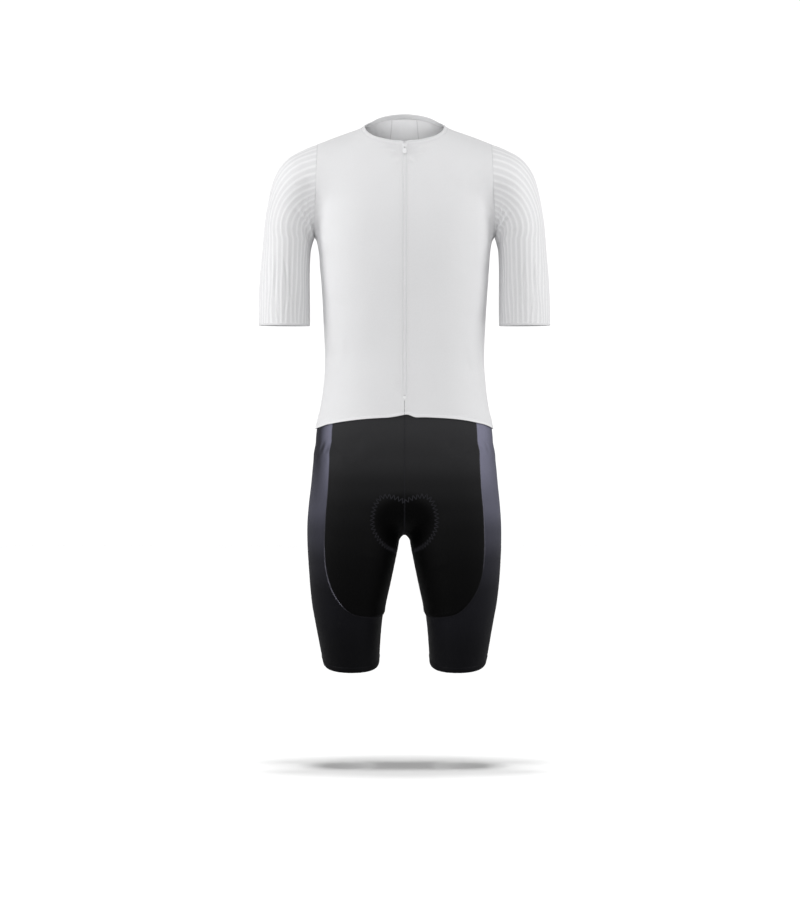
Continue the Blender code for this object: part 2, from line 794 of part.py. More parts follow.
def join_or_cut(target, other, operation):
    """Joins another closed mesh to the target or cuts it away, and hides it."""
    change = target.modifiers.new(other.name, "BOOLEAN")
    change.object = other
    change.operation = operation
    other.parent = target
    other.hide_render = True
    other.display_type = "WIRE"


def round_edges(target):
    edges = target.modifiers.new("rounded edges", "BEVEL")
    edges.width = EDGE_ROUNDING * METRES
    edges.segments = 2


def slider_frame():
    """The slider's place on the zip, up the cloth and out from it."""
    place = front_point(0.0, SLIDER_HEIGHT)
    out = outward(place)
    out = Vector((0.0, out[1], out[2])).normalized()
    across = Vector((1.0, 0.0, 0.0))
    turn = Matrix((across, out.cross(across), out)).transposed()
    return Matrix.Translation(Vector(place) * METRES) @ turn.to_4x4()


def make_slider(frame, look):
    """The slider's tapered plate, with the bridge over the pull's pin."""
    top, bottom, length = SLIDER_TOP_HALF, SLIDER_BOTTOM_HALF, SLIDER_HALF_LENGTH
    outline = [(-bottom, -length), (bottom, -length), (top, length), (-top, length)]
    slider = prism("zip_slider", outline, SLIDER_BACK, SLIDER_FACE, (0, 1, 2), look)
    foot = SLIDER_FACE - BRIDGE_SINK
    inner = BRIDGE_HALF_LENGTH - BRIDGE_BAR
    under = BRIDGE_TOP - BRIDGE_BAR
    outline = [
        (-BRIDGE_HALF_LENGTH, foot),
        (-BRIDGE_HALF_LENGTH, under),
        (-inner, BRIDGE_TOP),
        (inner, BRIDGE_TOP),
        (BRIDGE_HALF_LENGTH, under),
        (BRIDGE_HALF_LENGTH, foot),
        (inner, foot),
        (inner, under),
        (-inner, under),
        (-inner, foot),
    ]
    bridge = prism("slider bridge", outline, -BRIDGE_WIDTH / 2, BRIDGE_WIDTH / 2, (1, 2, 0), look)
    join_or_cut(slider, bridge, "UNION")
    round_edges(slider)
    slider.matrix_world = frame


def make_pull(frame, look):
    """The pull tab, hung by its pin under the slider's bridge, with its origin on the pin."""
    end = [
        (PULL_END_HALF * math.cos(turn), -PULL_LENGTH + PULL_END_HALF * (1 - math.sin(turn)))
        for turn in np.linspace(math.pi, 0, PULL_END_STEPS + 1)
    ]
    outline = [(PULL_TOP_HALF, PULL_PIN_HALF), (-PULL_TOP_HALF, PULL_PIN_HALF), *end]
    half = PULL_THICKNESS / 2
    pull = prism("zip_pull", outline, -half, half, (0, 1, 2), look)
    low, high = -PULL_PIN_HALF - PULL_SLOT_LENGTH, -PULL_PIN_HALF
    slot = [
        (-PULL_SLOT_HALF, low),
        (PULL_SLOT_HALF, low),
        (PULL_SLOT_HALF, high),
        (-PULL_SLOT_HALF, high),
    ]
    cutter = prism("pull slot", slot, -2 * half, 2 * half, (0, 1, 2), look)
    join_or_cut(pull, cutter, "DIFFERENCE")
    round_edges(pull)
    pull.matrix_world = frame @ Matrix.Translation((0.0, 0.0, PIN_HEIGHT * METRES))


def make_zip(form, numbers, looks):
    tapes, coil, stop = numbers
    for side, tape in zip(("left", "right"), tapes):
        wall(form, "zip_tape_" + side, form.triangles(tape), ZIP_TAPE, looks["tape"], 0.0)
    wall(form, "zip_coil", form.triangles(coil), ZIP_COIL, looks["coil"])
    wall(form, "zip_stop", form.triangles(stop), ZIP_STOP, looks["coil"])


def make_jersey(form, body, chest, back, sleeve, band, look):
    for side, word in enumerate(("left", "right")):
        front = form.triangles(body[side], columns=slice(0, JERSEY_SIDE_SEAM + 1))
        front += form.triangles(chest[side])
        wall(form, "front_" + word, front, JERSEY, look)
        rear = form.triangles(body[side], columns=slice(JERSEY_SIDE_SEAM, CENTRE_BACK_COLUMN + 1))
        rear += form.triangles(back[side], columns=slice(HALF_RING - CENTRE_BACK_COLUMN, None))
        wall(form, "back_" + word, rear, JERSEY, look)
        wall(form, "sleeve_" + word, form.triangles(sleeve[side]), JERSEY, look)
    centre, collar = [], []
    for side in (0, 1):
        centre += form.triangles(body[side], columns=slice(CENTRE_BACK_COLUMN, None))
        centre += form.triangles(back[side], columns=slice(0, HALF_RING - CENTRE_BACK_COLUMN + 1))
        collar += form.triangles(band[side])
    wall(form, "back_centre", centre, JERSEY, look)
    wall(form, "neck_band", collar, JERSEY, look)


def make_shorts(form, hips, legs, looks):
    inseam = HALF_RING + CROTCH_COLUMNS // 2
    above_cuff = slice(0, FORK_ROWS + len(THIGH_HEIGHTS) + 2)
    cuff = slice(above_cuff.stop - 1, None)
    for side, word in enumerate(("left", "right")):
        front = form.triangles(hips[side], columns=slice(0, FRONT_SEAM_COLUMN + 1))
        front += form.triangles(legs[side], above_cuff, slice(0, FRONT_SEAM_COLUMN + 1))
        front += form.triangles(legs[side], above_cuff, slice(inseam, None))
        wall(form, "shorts_front_" + word, front, SHORTS, looks["shorts"])
        back = form.triangles(hips[side], columns=slice(BACK_SEAM_COLUMN, None))
        back += form.triangles(legs[side], above_cuff, slice(BACK_SEAM_COLUMN, inseam + 1))
        wall(form, "shorts_back_" + word, back, SHORTS, looks["shorts"])
        panel = slice(FRONT_SEAM_COLUMN, BACK_SEAM_COLUMN + 1)
        outside = form.triangles(hips[side], columns=panel)
        outside += form.triangles(legs[side], above_cuff, panel)
        outside += form.triangles(legs[side], cuff)
        wall(form, "side_leg_" + word, outside, SHORTS, looks["side"])


def make_pad(form, hips, legs, look):
    """The seat pad inside the shorts, wide in front and behind and narrow between the legs."""
    above = slice(len(hips[0]) - 2, None)
    below = slice(0, PAD_ROWS + 1)
    faces = []
    for side in (0, 1):
        for columns in (slice(0, PAD_FRONT_COLUMN + 1), slice(CENTRE_BACK_COLUMN, None)):
            faces += form.triangles(hips[side], above, columns)
            faces += form.triangles(legs[side], below, columns)
    wall(form, "seat_pad", faces, SEAT_PAD, look)


def main():
    for old in list(bpy.data.objects):
        bpy.data.objects.remove(old)
    looks = {
        "jersey": material("white knit", (0.80, 0.80, 0.80), 0.75),
        "shorts": material("black knit", (0.012, 0.012, 0.014), 0.62),
        "side": material("navy grey knit", (0.055, 0.055, 0.075), 0.38),
        "pad": material("pad foam", (0.02, 0.02, 0.022), 0.9),
        "tape": material("zip tape", (0.70, 0.70, 0.70), 0.8),
        "coil": material("zip nylon", (0.72, 0.72, 0.73), 0.45),
        "slider": material("white lacquer", (0.85, 0.85, 0.85), 0.3),
    }
    chest = chest_grid("chest")
    back = chest_grid("back")
    hips = hip_grid()
    body = body_grid(chest, back, hips)
    leg_rows = leg_grid(hips)
    sleeve = sleeve_grid()
    band = band_grid()
    edges = zip_columns(body, chest, band)
    tape = tape_grid(edges)
    coil_half = ZIP_HALF - SEAM / 2
    coil = strip_grid(edges[:, 0, 2], coil_half)
    stop = strip_grid(np.array([ZIP_BOTTOM - ZIP_STOP_LENGTH, ZIP_BOTTOM]), coil_half)

    form = Form()
    pairs = {
        name: form.add_pair(grid)
        for name, grid in (
            ("chest", chest),
            ("back", back),
            ("hips", hips),
            ("body", body),
            ("legs", leg_rows),
            ("sleeve", sleeve),
            ("band", band),
            ("tape", tape),
        )
    }
    zip_numbers = (pairs["tape"], form.add(coil), form.add(stop))
    form.finish()
    make_jersey(form, *(pairs[name] for name in ("body", "chest", "back", "sleeve", "band")), looks["jersey"])
    make_shorts(form, pairs["hips"], pairs["legs"], looks)
    make_pad(form, pairs["hips"], pairs["legs"], looks["pad"])
    make_zip(form, zip_numbers, looks)
    frame = slider_frame()
    make_slider(frame, looks["slider"])
    make_pull(frame, looks["slider"])


main()
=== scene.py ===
"""Cloth, seams, hems, zip and stage of a cycling skinsuit in its worn form.

Lengths are millimetres and become metres as each mesh is made. +Z is up, the front faces -Y, and the
wearer's left is +X. Each packed panel gives the shape: its outer triangles are cut finer on a surface that
curves with the panel's directions out, and a thin closed shell of cloth is laid on that.
"""

import functools
import heapq
import json
import math

import bpy
import numpy as np
from bpy.props import FloatProperty, FloatVectorProperty, PointerProperty
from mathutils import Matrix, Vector
from mathutils.bvhtree import BVHTree
from mathutils.kdtree import KDTree

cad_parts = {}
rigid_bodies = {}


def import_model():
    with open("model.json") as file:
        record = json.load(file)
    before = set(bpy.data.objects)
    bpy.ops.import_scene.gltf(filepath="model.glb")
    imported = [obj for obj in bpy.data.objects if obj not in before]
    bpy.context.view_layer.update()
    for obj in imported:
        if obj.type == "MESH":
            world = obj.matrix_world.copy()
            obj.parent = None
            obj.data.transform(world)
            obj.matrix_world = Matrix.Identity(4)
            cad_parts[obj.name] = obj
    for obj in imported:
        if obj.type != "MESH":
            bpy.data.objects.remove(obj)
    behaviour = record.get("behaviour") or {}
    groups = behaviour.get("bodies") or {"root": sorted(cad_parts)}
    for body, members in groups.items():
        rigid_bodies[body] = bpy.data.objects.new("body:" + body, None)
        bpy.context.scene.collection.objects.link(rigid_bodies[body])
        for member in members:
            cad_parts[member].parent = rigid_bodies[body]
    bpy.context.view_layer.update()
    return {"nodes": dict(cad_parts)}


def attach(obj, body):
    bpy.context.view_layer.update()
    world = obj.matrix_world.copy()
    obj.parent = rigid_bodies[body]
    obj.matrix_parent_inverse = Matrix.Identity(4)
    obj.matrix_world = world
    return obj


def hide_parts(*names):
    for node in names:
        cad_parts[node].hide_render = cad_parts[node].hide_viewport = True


bl_info = {
    "name": "Cycling Skinsuit",
    "version": (1, 0, 0),
    "blender": (4, 5, 0),
    "location": "3D View > Sidebar > Skinsuit",
    "description": "Builds the knit panels, seams, hems, zip and seat pad of a cycling skinsuit",
    "category": "Object",
}

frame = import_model()


def table(names, *rows):
    """Rows of numbers as dictionaries with named columns."""
    return [dict(zip(names.split(), row)) for row in rows]


def column(rows, name):
    return np.array([row[name] for row in rows], float)


METRES = 0.001
SUIT = "suit"
SIDES = {"left": 1.0, "right": -1.0}
SMOOTH_ANGLE = 55.0
CLOTH_UV = "Cloth"
ACROSS = np.array([1.0, 0.0, 0.0])

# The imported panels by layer, and how finely each family of them is cut
BODY_PANELS = ("front_left", "front_right", "back_left", "back_right", "back_centre", "neck_band")
SHORTS_PANELS = tuple(kind + side for kind in ("shorts_front_", "shorts_back_", "side_leg_") for side in SIDES)
PAD = "seat_pad"
CLOTH_STEPS = 8
PAD_STEPS = 6
WALL_EDGE = 1.6
PAD_WALL_EDGE = 4.5
JOIN_REACH = 0.8
CORNER_TURN = 45.0

# Rounds that even a form's points out and smooth them, and the share of the way they move in each
RELAX_ROUNDS = 50
SMOOTH_ROUNDS = 8
NORMALS_KEPT = 5
SLIDE_SHARE = 0.6
SHRINK_SHARE = 0.5
SWELL_SHARE = -0.52

# Flat cuts: how much the worn cloth is stretched over them, around the body and along it, how narrow a band
# is cut straight, what its seam turns under, and the heights where the tube of a leg opens
STRETCH = (1.12, 1.04)
EVEN_ROUNDS = 60
EVEN_SHARE = 0.8
FLAT_STEP = 0.05
BAND_SHARE = 0.3
BAND_TURNING = 3.8
TUBE_TOP = -800.0
TUBE_LOW = -880.0

# Relief of the cloth
WAVE_HEIGHT = 0.35
SEAM_DEPTH = 0.4
SEAM_VALLEY = 2.6
BAND_SEAM = 0.4
PUCKER_HEIGHT = 0.16
PUCKER_OUT = 5.0
NEAR_REACH = 1000.0
ARMHOLE_FADE = 9.0
ZIP_FADE = (2.5, 8.0)
HEM_FADE = 45.0
PAD_SEAM_DEPTH = 0.35
PAD_SEAM_VALLEY = 3.5

# The step from the shorts' panels down to the cuffs of the side panels
CUFF_PROUD = 1.0
CUFF_SUNK = 1.5
CUFF_EDGE = 1.8
CUFF_REACH = 45.0
STEP_REACH = 3.0
STEP_HEIGHTS = (770.0, 812.0)

# Where the jersey lies over the shorts, each cloth keeps to its side
COVER_TOP = -440.0
COVER_FADE = 25.0
COVER_FREE = 2.0
COVER_FLOOR = -0.3
UNDER_TOP = -515.0
UNDER_FADE = 20.0
UNDER_FREE = 3.0
UNDER_CEILING = 0.25

# Where the edges of the jersey are told apart
HEM_TOP = -485.0
HEM_CORNER = -490.5
CORNER_REACH = 3.0
NECK_LOW = -45.0
ZIP_REACH = 2.7
ZIP_LOW = -489.0
ZIP_HIGH = -20.0

# The ribbed sleeve: planes that turn round a line inside the armpit, then lie level down the arm
SLEEVE_TURN = (148.0, -192.0)
SLEEVE_TURN_RUN = 100.0
SLEEVE_MIDDLE = (53.0, 82.0)
SLEEVE_DEEP = (3.0, -5.0)
SLEEVE_OUT_DRIFT = 0.02
RIB_COLUMNS = 8
SLEEVE_ROWS = 96
RIB_WIDTH = 0.19
RIB_GROUND = 0.22
RIB_WANDER = 2.6
WANDER_FROM = (0.45, 0.8)

# Threads, and the tape on the inner face of the seams near the middle of the back
SEAM_HALF = 1.5
SEAM_ARCH = 0.3
THREAD = 0.26
BAND_HALF = 1.0
BAND_THREAD = 0.2
ROW_THREAD = 0.2
NECK_LINE_THREAD = 0.4
ZIGZAG_HALF = 4.2
ZIGZAG_THREAD = 0.6
TAPE_HALF = 0.8
INNER_TAPE_REACH = 80.0

# Painted light falloff of the shorts down their height, as shares of each panel's colour: lighter at the top, as if
# lit from above
BLACK_PAINTED_LIGHT = table(
    "height share",
    (-500, 1.0),
    (-560, 0.72),
    (-610, 0.36),
    (-650, 0.22),
    (-690, 0.13),
    (-760, 0.06),
    (-830, 0.03),
)
# Painted light falloff of the side panels down their height, the same way
SIDE_PAINTED_LIGHT = table(
    "height share",
    (-500, 1.0),
    (-570, 0.82),
    (-640, 0.56),
    (-690, 0.27),
    (-740, 0.1),
    (-790, 0.045),
    (-900, 0.02),
)
# Painted highlight along the side seams' thread, by height on the wearer's right and left, where the seams catch light
SIDE_THREAD_PAINTED_HIGHLIGHT = table(
    "height right left",
    (-500, 0.25, 0.7),
    (-700, 0.3, 0.75),
    (-715, 0.7, 0.75),
    (-740, 0.95, 0.5),
    (-755, 1.0, 0.08),
    (-806, 1.1, 0.06),
    (-820, 0.08, 0.06),
    (-900, 0.06, 0.06),
)
# Painted shade over the front of the pad: how dark it gets, the height of its middle, its size, and how soft its edge
# is
PAD_PAINTED_SHADE = 0.16
PAD_PAINTED_SHADE_HEIGHT = -668.0
PAD_PAINTED_SHADE_SIZE = (54.0, 48.0)
PAD_PAINTED_SHADE_EDGE = (1.35, 0.45)
# Painted shade and light on the side panels: how dark they are where they turn away and where they face the front, on
# the wearer's right and left, as the lights fall on them
PAINTED_SIDE_SHADES = table(
    "side turned faced top_dark top_light low_dark low_light",
    (-1, 0.4, 0.78, 0.12, 0.95, 0.6, 0.64),
    (1, 0.1, 0.78, 0.6, 1.22, 1.05, 0.98),
)
PAINTED_SHADE_HEIGHTS = (-545.0, -665.0)

# Surfaces of the cloths, and the palest that a white may be
WHITEST = 0.93
SOFT_WHITE = {"Sheen_Weight": 0.12, "Sheen_Roughness": 0.6, "Specular_IOR_Level": 0.25}
SOFT_BLACK = {"Specular_IOR_Level": 0.05}
SOFT_SIDE = {"Specular_IOR_Level": 0.06}

# Creases: side -1 is the front and 1 the back, bow is how far the middle strays from straight
CREASE = "side x0 z0 x1 z1 bow width height"
JERSEY_CREASES = table(
    CREASE,
    (-1, -104, -348, -119, -430, 5, 8, 0.8),
    (-1, -122, -458, -136, -512, 2, 7, 0.7),
    (-1, 126, -456, 149, -506, -2, 7, 0.7),
    (-1, 110, -362, 122, -425, -4, 8, 0.5),
    (-1, -156, -222, -92, -238, 7, 15, -0.8),
    (-1, -150, -298, -88, -312, 5, 16, -0.8),
    (-1, -146, -384, -94, -396, 4, 13, -0.6),
    (-1, 154, -230, 98, -250, 7, 15, -0.7),
    (-1, 148, -316, 94, -328, 5, 16, -0.7),
    (-1, 144, -402, 102, -414, 4, 13, -0.5),
    (-1, -149, -134, -126, -214, -6, 9, 0.9),
    (-1, 149, -138, 128, -218, 6, 9, 0.8),
    (-1, -140, -120, -108, -196, -7, 11, -0.5),
    (-1, 141, -124, 110, -198, 7, 11, -0.4),
    (-1, -18, -423, -5, -430, 0, 3, 0.9),
    (-1, -20, -433, -5, -441, 0, 3, 1.0),
    (-1, -18, -444, -5, -452, 0, 3, 0.9),
    (-1, 5, -436, 15, -441, 0, 4, 0.3),
    (-1, -5, -45, -38, -37, 1, 4, 1.8),
    (-1, -5, -52, -31, -51, 1, 4, 1.5),
    (-1, -5, -59, -20, -69, 0, 4.5, 1.0),
    (-1, 5, -45, 40, -38, -1, 4, 1.7),
    (-1, 5, -52, 33, -53, 1, 4, 1.4),
    (-1, 5, -59, 19, -68, 0, 4.5, 0.9),
    (-1, -70, -474, -40, -500, 3, 7, 0.4),
    (1, -116, -322, -42, -338, 8, 15, -0.9),
    (1, 44, -334, 118, -324, 8, 14, -0.8),
    (1, -100, -372, -34, -386, 7, 13, 0.7),
    (1, 38, -384, 106, -374, 7, 13, 0.7),
    (1, -92, -424, -30, -436, 5, 12, -0.6),
    (1, 34, -430, 96, -422, 5, 12, -0.5),
    (1, -150, -140, -104, -196, -7, 10, 0.9),
    (1, 150, -143, 106, -200, 7, 10, 0.8),
    (1, -62, -118, -50, -212, 3, 13, -0.6),
    (1, 64, -122, 50, -216, -3, 13, -0.5),
    (1, -22, -440, -60, -476, 4, 10, 0.6),
    (1, 26, -438, 66, -472, 4, 10, 0.5),
    (1, -120, -462, -134, -514, 2, 7, 0.6),
    (1, 122, -460, 136, -512, -2, 7, 0.6),
)
SLEEVE_CREASES = table(
    CREASE,
    (-1, -182, -136, -155, -197, 3, 4.4, 3.4),
    (-1, -166, -122, -155, -192, -2, 3.8, 2.8),
    (-1, -192, -164, -163, -206, 4, 5, 1.4),
    (-1, 180, -140, 155, -197, -3, 4.4, 3.3),
    (-1, 166, -126, 156, -192, 2, 3.8, 2.7),
    (-1, 193, -168, 164, -207, -4, 5, 1.3),
    (-1, -204, -222, -202, -318, 5, 3, -1.1),
    (-1, -215, -250, -211, -332, -4, 3, -0.9),
    (-1, -190, -228, -188, -300, -4, 3, -0.8),
    (-1, -222, -206, -226, -280, 3, 4, 0.7),
    (-1, 203, -226, 201, -315, -5, 3, -0.9),
    (-1, 214, -246, 210, -330, 4, 3, -0.8),
    (-1, 190, -232, 187, -298, 4, 3, -0.7),
    (-1, 223, -210, 227, -286, -3, 4, 0.7),
    (1, -206, -222, -204, -318, 5, 3.5, -0.9),
    (1, 205, -226, 203, -312, -5, 3.5, -0.9),
    (1, -190, -240, -187, -310, -4, 3.5, -0.7),
    (1, 191, -236, 188, -306, 4, 3.5, -0.7),
    (1, -180, -138, -154, -190, 3, 5, 1.1),
    (1, -166, -120, -156, -176, -2, 4, 0.8),
    (1, 182, -142, 154, -192, -3, 5, 1.1),
    (1, 164, -124, 156, -178, 2, 4, 0.8),
)
SHORTS_CREASES = table(
    CREASE,
    (-1, -96, -524, -40, -540, 5, 14, -0.5),
    (-1, 44, -530, 100, -518, 5, 14, -0.5),
    (-1, -30, -742, -84, -722, -5, 9, 0.5),
    (-1, 30, -746, 86, -726, -5, 9, 0.5),
    (-1, -128, -846, -78, -858, 4, 10, 0.5),
    (-1, 126, -850, 80, -862, 4, 10, 0.5),
    (-1, -120, -880, -84, -890, 3, 9, -0.4),
    (-1, 122, -884, 86, -892, 3, 9, -0.4),
    (1, -24, -702, -112, -688, -8, 14, -0.7),
    (1, 24, -706, 110, -692, -8, 14, -0.7),
    (1, -36, -738, -104, -724, -6, 11, 0.5),
    (1, 36, -742, 102, -728, -6, 11, 0.5),
    (1, -130, -846, -60, -854, 4, 10, 0.6),
    (1, 128, -850, 62, -858, 4, 10, 0.6),
    (1, -122, -872, -64, -880, 3, 9, -0.5),
    (1, 120, -876, 66, -884, 3, 9, -0.5),
    (1, -92, -540, -24, -552, 6, 14, 0.5),
    (1, 26, -550, 90, -538, 6, 14, 0.5),
)
# The seam that holds the pad, on the front of the shorts from its middle down to the inside of the leg
PAD_RING = table(
    "x z",
    (0, -634),
    (14, -628),
    (30, -625),
    (42, -629),
    (50, -643),
    (54, -663),
    (52, -681),
    (43, -698),
    (30, -711),
    (16, -720),
)

# Turned edges
FOLD_STEP = 3.0
HEM_RISE = 0.35
NECK_FOLD = 2.4
NECK_FOLD_INSIDE = 6.5
NECK_WIDENS = (-25.0, 15.0)
SLEEVE_FOLD = 3.0
PLAIN_RISE = 0.33
ROW_IN = 1.0
LEG_HEM_TOP = -850.0

# The seat pad
PAD_INSET = 0.2
PAD_EDGE = 0.8
PAD_DEPTH = 4.0
PAD_TAPER = 14.0
PAD_GROOVE = 1.2
PAD_GROOVE_IN = 15.0
PAD_GROOVE_HALF = 2.5
PAD_GROOVE_FADE = (8.0, 20.0)
PAD_MIDDLE_HALF = 4.0
PAD_CHANNEL = 26.0

# How far the front hem of the worn jersey rides up or hangs down across the suit
HEM_RIDE = table(
    "x rise",
    (-145, 0.5),
    (-130, 1.7),
    (-110, 0.9),
    (-89, -0.35),
    (-69, -1.4),
    (-48, -2.0),
    (-28, -1.9),
    (-18, -0.7),
    (-9.5, 0.8),
    (-4, 2.0),
    (2.5, 3.2),
    (6, 2.9),
    (11, 1.2),
    (16, -1.1),
    (21, -1.7),
    (33, -1.1),
    (53, -0.85),
    (64, -0.2),
    (84, 1.2),
    (105, 2.5),
    (135, 3.0),
    (150, 1.5),
)
HEM_RIDE_UP = 45.0
HEM_RIDE_ROUND = 50.0

# The zip, and the gap between the fronts beside it by height, as packed and as worn
ZIP_TOP = -33.0
ZIP_BOTTOM = -456.0
GAP_REACH = 12.0
GAP_HEIGHTS = table(
    "height now then",
    (-491, 0.76, 0.25),
    (-480, 1.37, 0.2),
    (-472, 1.73, 0.2),
    (-463, 2.07, 0.2),
    (-458, 2.2, 1.75),
    (-450, 2.4, 1.75),
    (-50, 2.5, 1.75),
    (0, 2.55, 1.75),
)
TOOTH_HEIGHT = 0.25
TOOTH_INNER = 0.55
TOOTH_OUTER = 1.5
TOOTH_RADIUS = 0.56
TOOTH_ARCH = 0.15
TOOTH_ROW = 1.35
CORE = [(-1.9, -0.75), (-1.9, -0.35), (-0.8, -0.1), (0.8, -0.1), (1.9, -0.35), (1.9, -0.75)]
ZIP_FOLD = [
    (0.05, -0.2),
    (0.2, 0.3),
    (0.8, 0.55),
    (2.6, 0.5),
    (3.6, 0.1),
    (3.7, -0.4),
    (0.3, -0.6),
]
ZIP_STITCH_IN = 2.6
CAD_FINISHES = {
    "zip_tape_left": "zip tape",
    "zip_tape_right": "zip tape",
    "zip_stop": "zip nylon",
    "zip_slider": "lacquer",
    "zip_pull": "lacquer",
}

# The stage, in metres
WORLD_SHOWN = 1.1
WORLD_LIGHT = 0.5
FLOOR_HEIGHT = -1.086
FLOOR_HALF = 9.0
OVERHEAD = 5.8
OVERHEAD_ANGLE = 9.0
OVERHEAD_LEANS = (4.0, -6.2)
LIGHTS = table(
    "name place target size energy",
    ("key", (-1.9, -2.6, 0.6), (0.0, 0.0, -0.4), (2.2, 2.4), 26.0),
    ("fill", (2.2, -2.6, 0.2), (0.0, 0.0, -0.4), (2.2, 2.4), 16.0),
    ("left", (-2.4, -0.5, 0.2), (0.0, 0.0, -0.3), (0.8, 2.0), 28.0),
    ("right", (2.4, -0.4, 0.2), (0.0, 0.0, -0.3), (0.8, 2.0), 26.0),
    ("top", (0.0, -1.6, 1.5), (0.0, 0.05, 0.0), (1.0, 0.8), 4.0),
    ("neck", (0.0, -1.0, 0.4), (0.0, 0.05, 0.0), (2.4, 0.4), 8.0),
    ("back", (0.0, 2.6, 0.4), (0.0, 0.0, -0.45), (1.6, 1.6), 24.0),
)
CAMERA_ACROSS = -0.00765
CAMERA_AWAY = 6.0
CAMERA_HEIGHT = -0.46
VIEW_HEIGHT = 1.53
VIEW_MIDDLE = -0.549


def unit(vectors):
    return vectors / np.maximum(np.linalg.norm(vectors, axis=-1, keepdims=True), 1e-12)


def smooth_step(low, high, at):
    """0 up to low, 1 from high, and smooth between."""
    share = np.clip((at - low) / (high - low), 0, 1)
    return share * share * (3 - 2 * share)


def summed(number, values, size=0):
    """The sums of the values that have each number."""
    return np.stack([np.bincount(number, column, size) for column in values.T], 1)


def turns(corners):
    """The cross products of triangles' first two sides, twice as long as the triangles are large."""
    return np.cross(corners[:, 1] - corners[:, 0], corners[:, 2] - corners[:, 0])


def run_along(line):
    """How far along a line each of its points is."""
    return np.concatenate([[0.0], np.cumsum(np.linalg.norm(np.diff(line, axis=0), axis=1))])


def point_tree(points):
    tree = KDTree(len(points))
    for place, point in enumerate(points):
        tree.insert(point, place)
    tree.balance()
    return tree


def fours(a, b, c, d):
    """Two triangles for every four points, given in turn."""
    return np.concatenate([np.stack([a, b, c], -1), np.stack([a, c, d], -1)]).reshape(-1, 3)


def alternating(count):
    """1 and -1 by turns, as a column."""
    return np.where(np.arange(count) % 2 == 0, 1.0, -1.0)[:, None]


def scaled(colour, share, most=math.inf):
    return tuple(min(share * value, most) for value in colour)


# ---- The smooth form that the cloth lies on ----


def node_mesh(name):
    """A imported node's points in millimetres, each once, and its triangles."""
    mesh = frame["nodes"][name].data
    flat = np.empty(len(mesh.vertices) * 3, np.float32)
    mesh.vertices.foreach_get("co", flat)
    points = flat.reshape(-1, 3).astype(float) / METRES
    mesh.calc_loop_triangles()
    corners = np.empty(len(mesh.loop_triangles) * 3, np.int32)
    mesh.loop_triangles.foreach_get("vertices", corners)
    _, first, number = np.unique(np.round(points, 3), axis=0, return_index=True, return_inverse=True)
    return points[first], number.reshape(-1)[corners.reshape(-1, 3)]


def islands(count, triangles):
    """A label for each point, the same for all points that triangles connect."""
    label = np.arange(count)
    while True:
        lowest = label[triangles].min(axis=1)
        new = label.copy()
        for corner in range(3):
            np.minimum.at(new, triangles[:, corner], lowest)
        if (new == label).all():
            return label
        label = new


def outer_sheet(name, wall_edge=WALL_EDGE):
    """A packed panel's outer points, the directions out of it there, and its outer triangles."""
    points, triangles = node_mesh(name)
    edges = np.linalg.norm(points[triangles] - points[np.roll(triangles, -1, axis=1)], axis=2)
    sheets = triangles[edges.min(axis=1) > wall_edge]
    label = islands(len(points), sheets)[sheets[:, 0]]
    corners = points[sheets]
    away = corners.mean(axis=1) - np.array([0.0, 0.0, points[:, 2].mean()])
    outward = (turns(corners) * away).sum(axis=1)
    names = np.unique(label)
    if len(names) != 2:
        raise ValueError(f"{name} has {len(names)} sheets, and not an outer and an inner one")
    outer, inner = sorted(names, key=lambda value: -outward[label == value].sum())
    faces = sheets[label == outer]
    used, number = np.unique(faces, return_inverse=True)
    below = points[np.unique(sheets[label == inner])]
    away = points[used][:, None] - below[None]
    nearest = np.linalg.norm(away, axis=2).argmin(axis=1)
    normals = unit(away[np.arange(len(used)), nearest])
    return points[used], normals, number.reshape(-1, 3)


def joined(points, reach):
    """For each point, the number of the first point within reach of it."""
    tree = point_tree(points)
    return np.array([min(found[1] for found in tree.find_range(point, reach)) for point in points])


def edge_table(triangles):
    """Each edge once, the edges of each triangle by number, and how many triangles use each edge."""
    pairs = np.sort(triangles[:, [[0, 1], [1, 2], [2, 0]]].reshape(-1, 2), axis=1)
    edges, number, uses = np.unique(pairs, axis=0, return_inverse=True, return_counts=True)
    return edges, number.reshape(-1, 3), uses


def point_normals(points, triangles):
    turned = turns(points[triangles])
    return unit(sum(summed(corner, turned, len(points)) for corner in triangles.T))


def line_controls(points, normals, edges, line_edges):
    """Control points a third of the way along the edges of seams and hems, by start and end.

    A line that goes on without a sharp turn bends smoothly through its points.
    """
    beside = {}
    for start, end in edges[line_edges]:
        beside.setdefault(int(start), []).append(int(end))
        beside.setdefault(int(end), []).append(int(start))
    controls, fixed = {}, []
    for point, others in beside.items():
        reach = points[others] - points[point]
        size = np.linalg.norm(reach, axis=1)
        facing = (reach / size[:, None]) @ (reach / size[:, None]).T
        first, second = np.unravel_index(facing.argmin(), facing.shape)
        if len(others) != 2 or facing[first, second] > -math.cos(math.radians(CORNER_TURN)):
            fixed.append(point)
        if facing[first, second] > -math.cos(math.radians(CORNER_TURN)):
            continue
        before, after = size[first], size[second]
        slope = reach[second] / after * before - reach[first] / before * after
        slope = slope / (before + after)
        slope -= slope @ normals[point] * normals[point]
        controls[point, others[second]] = points[point] + slope * after / 3
        controls[point, others[first]] = points[point] - slope * before / 3
    return controls, fixed


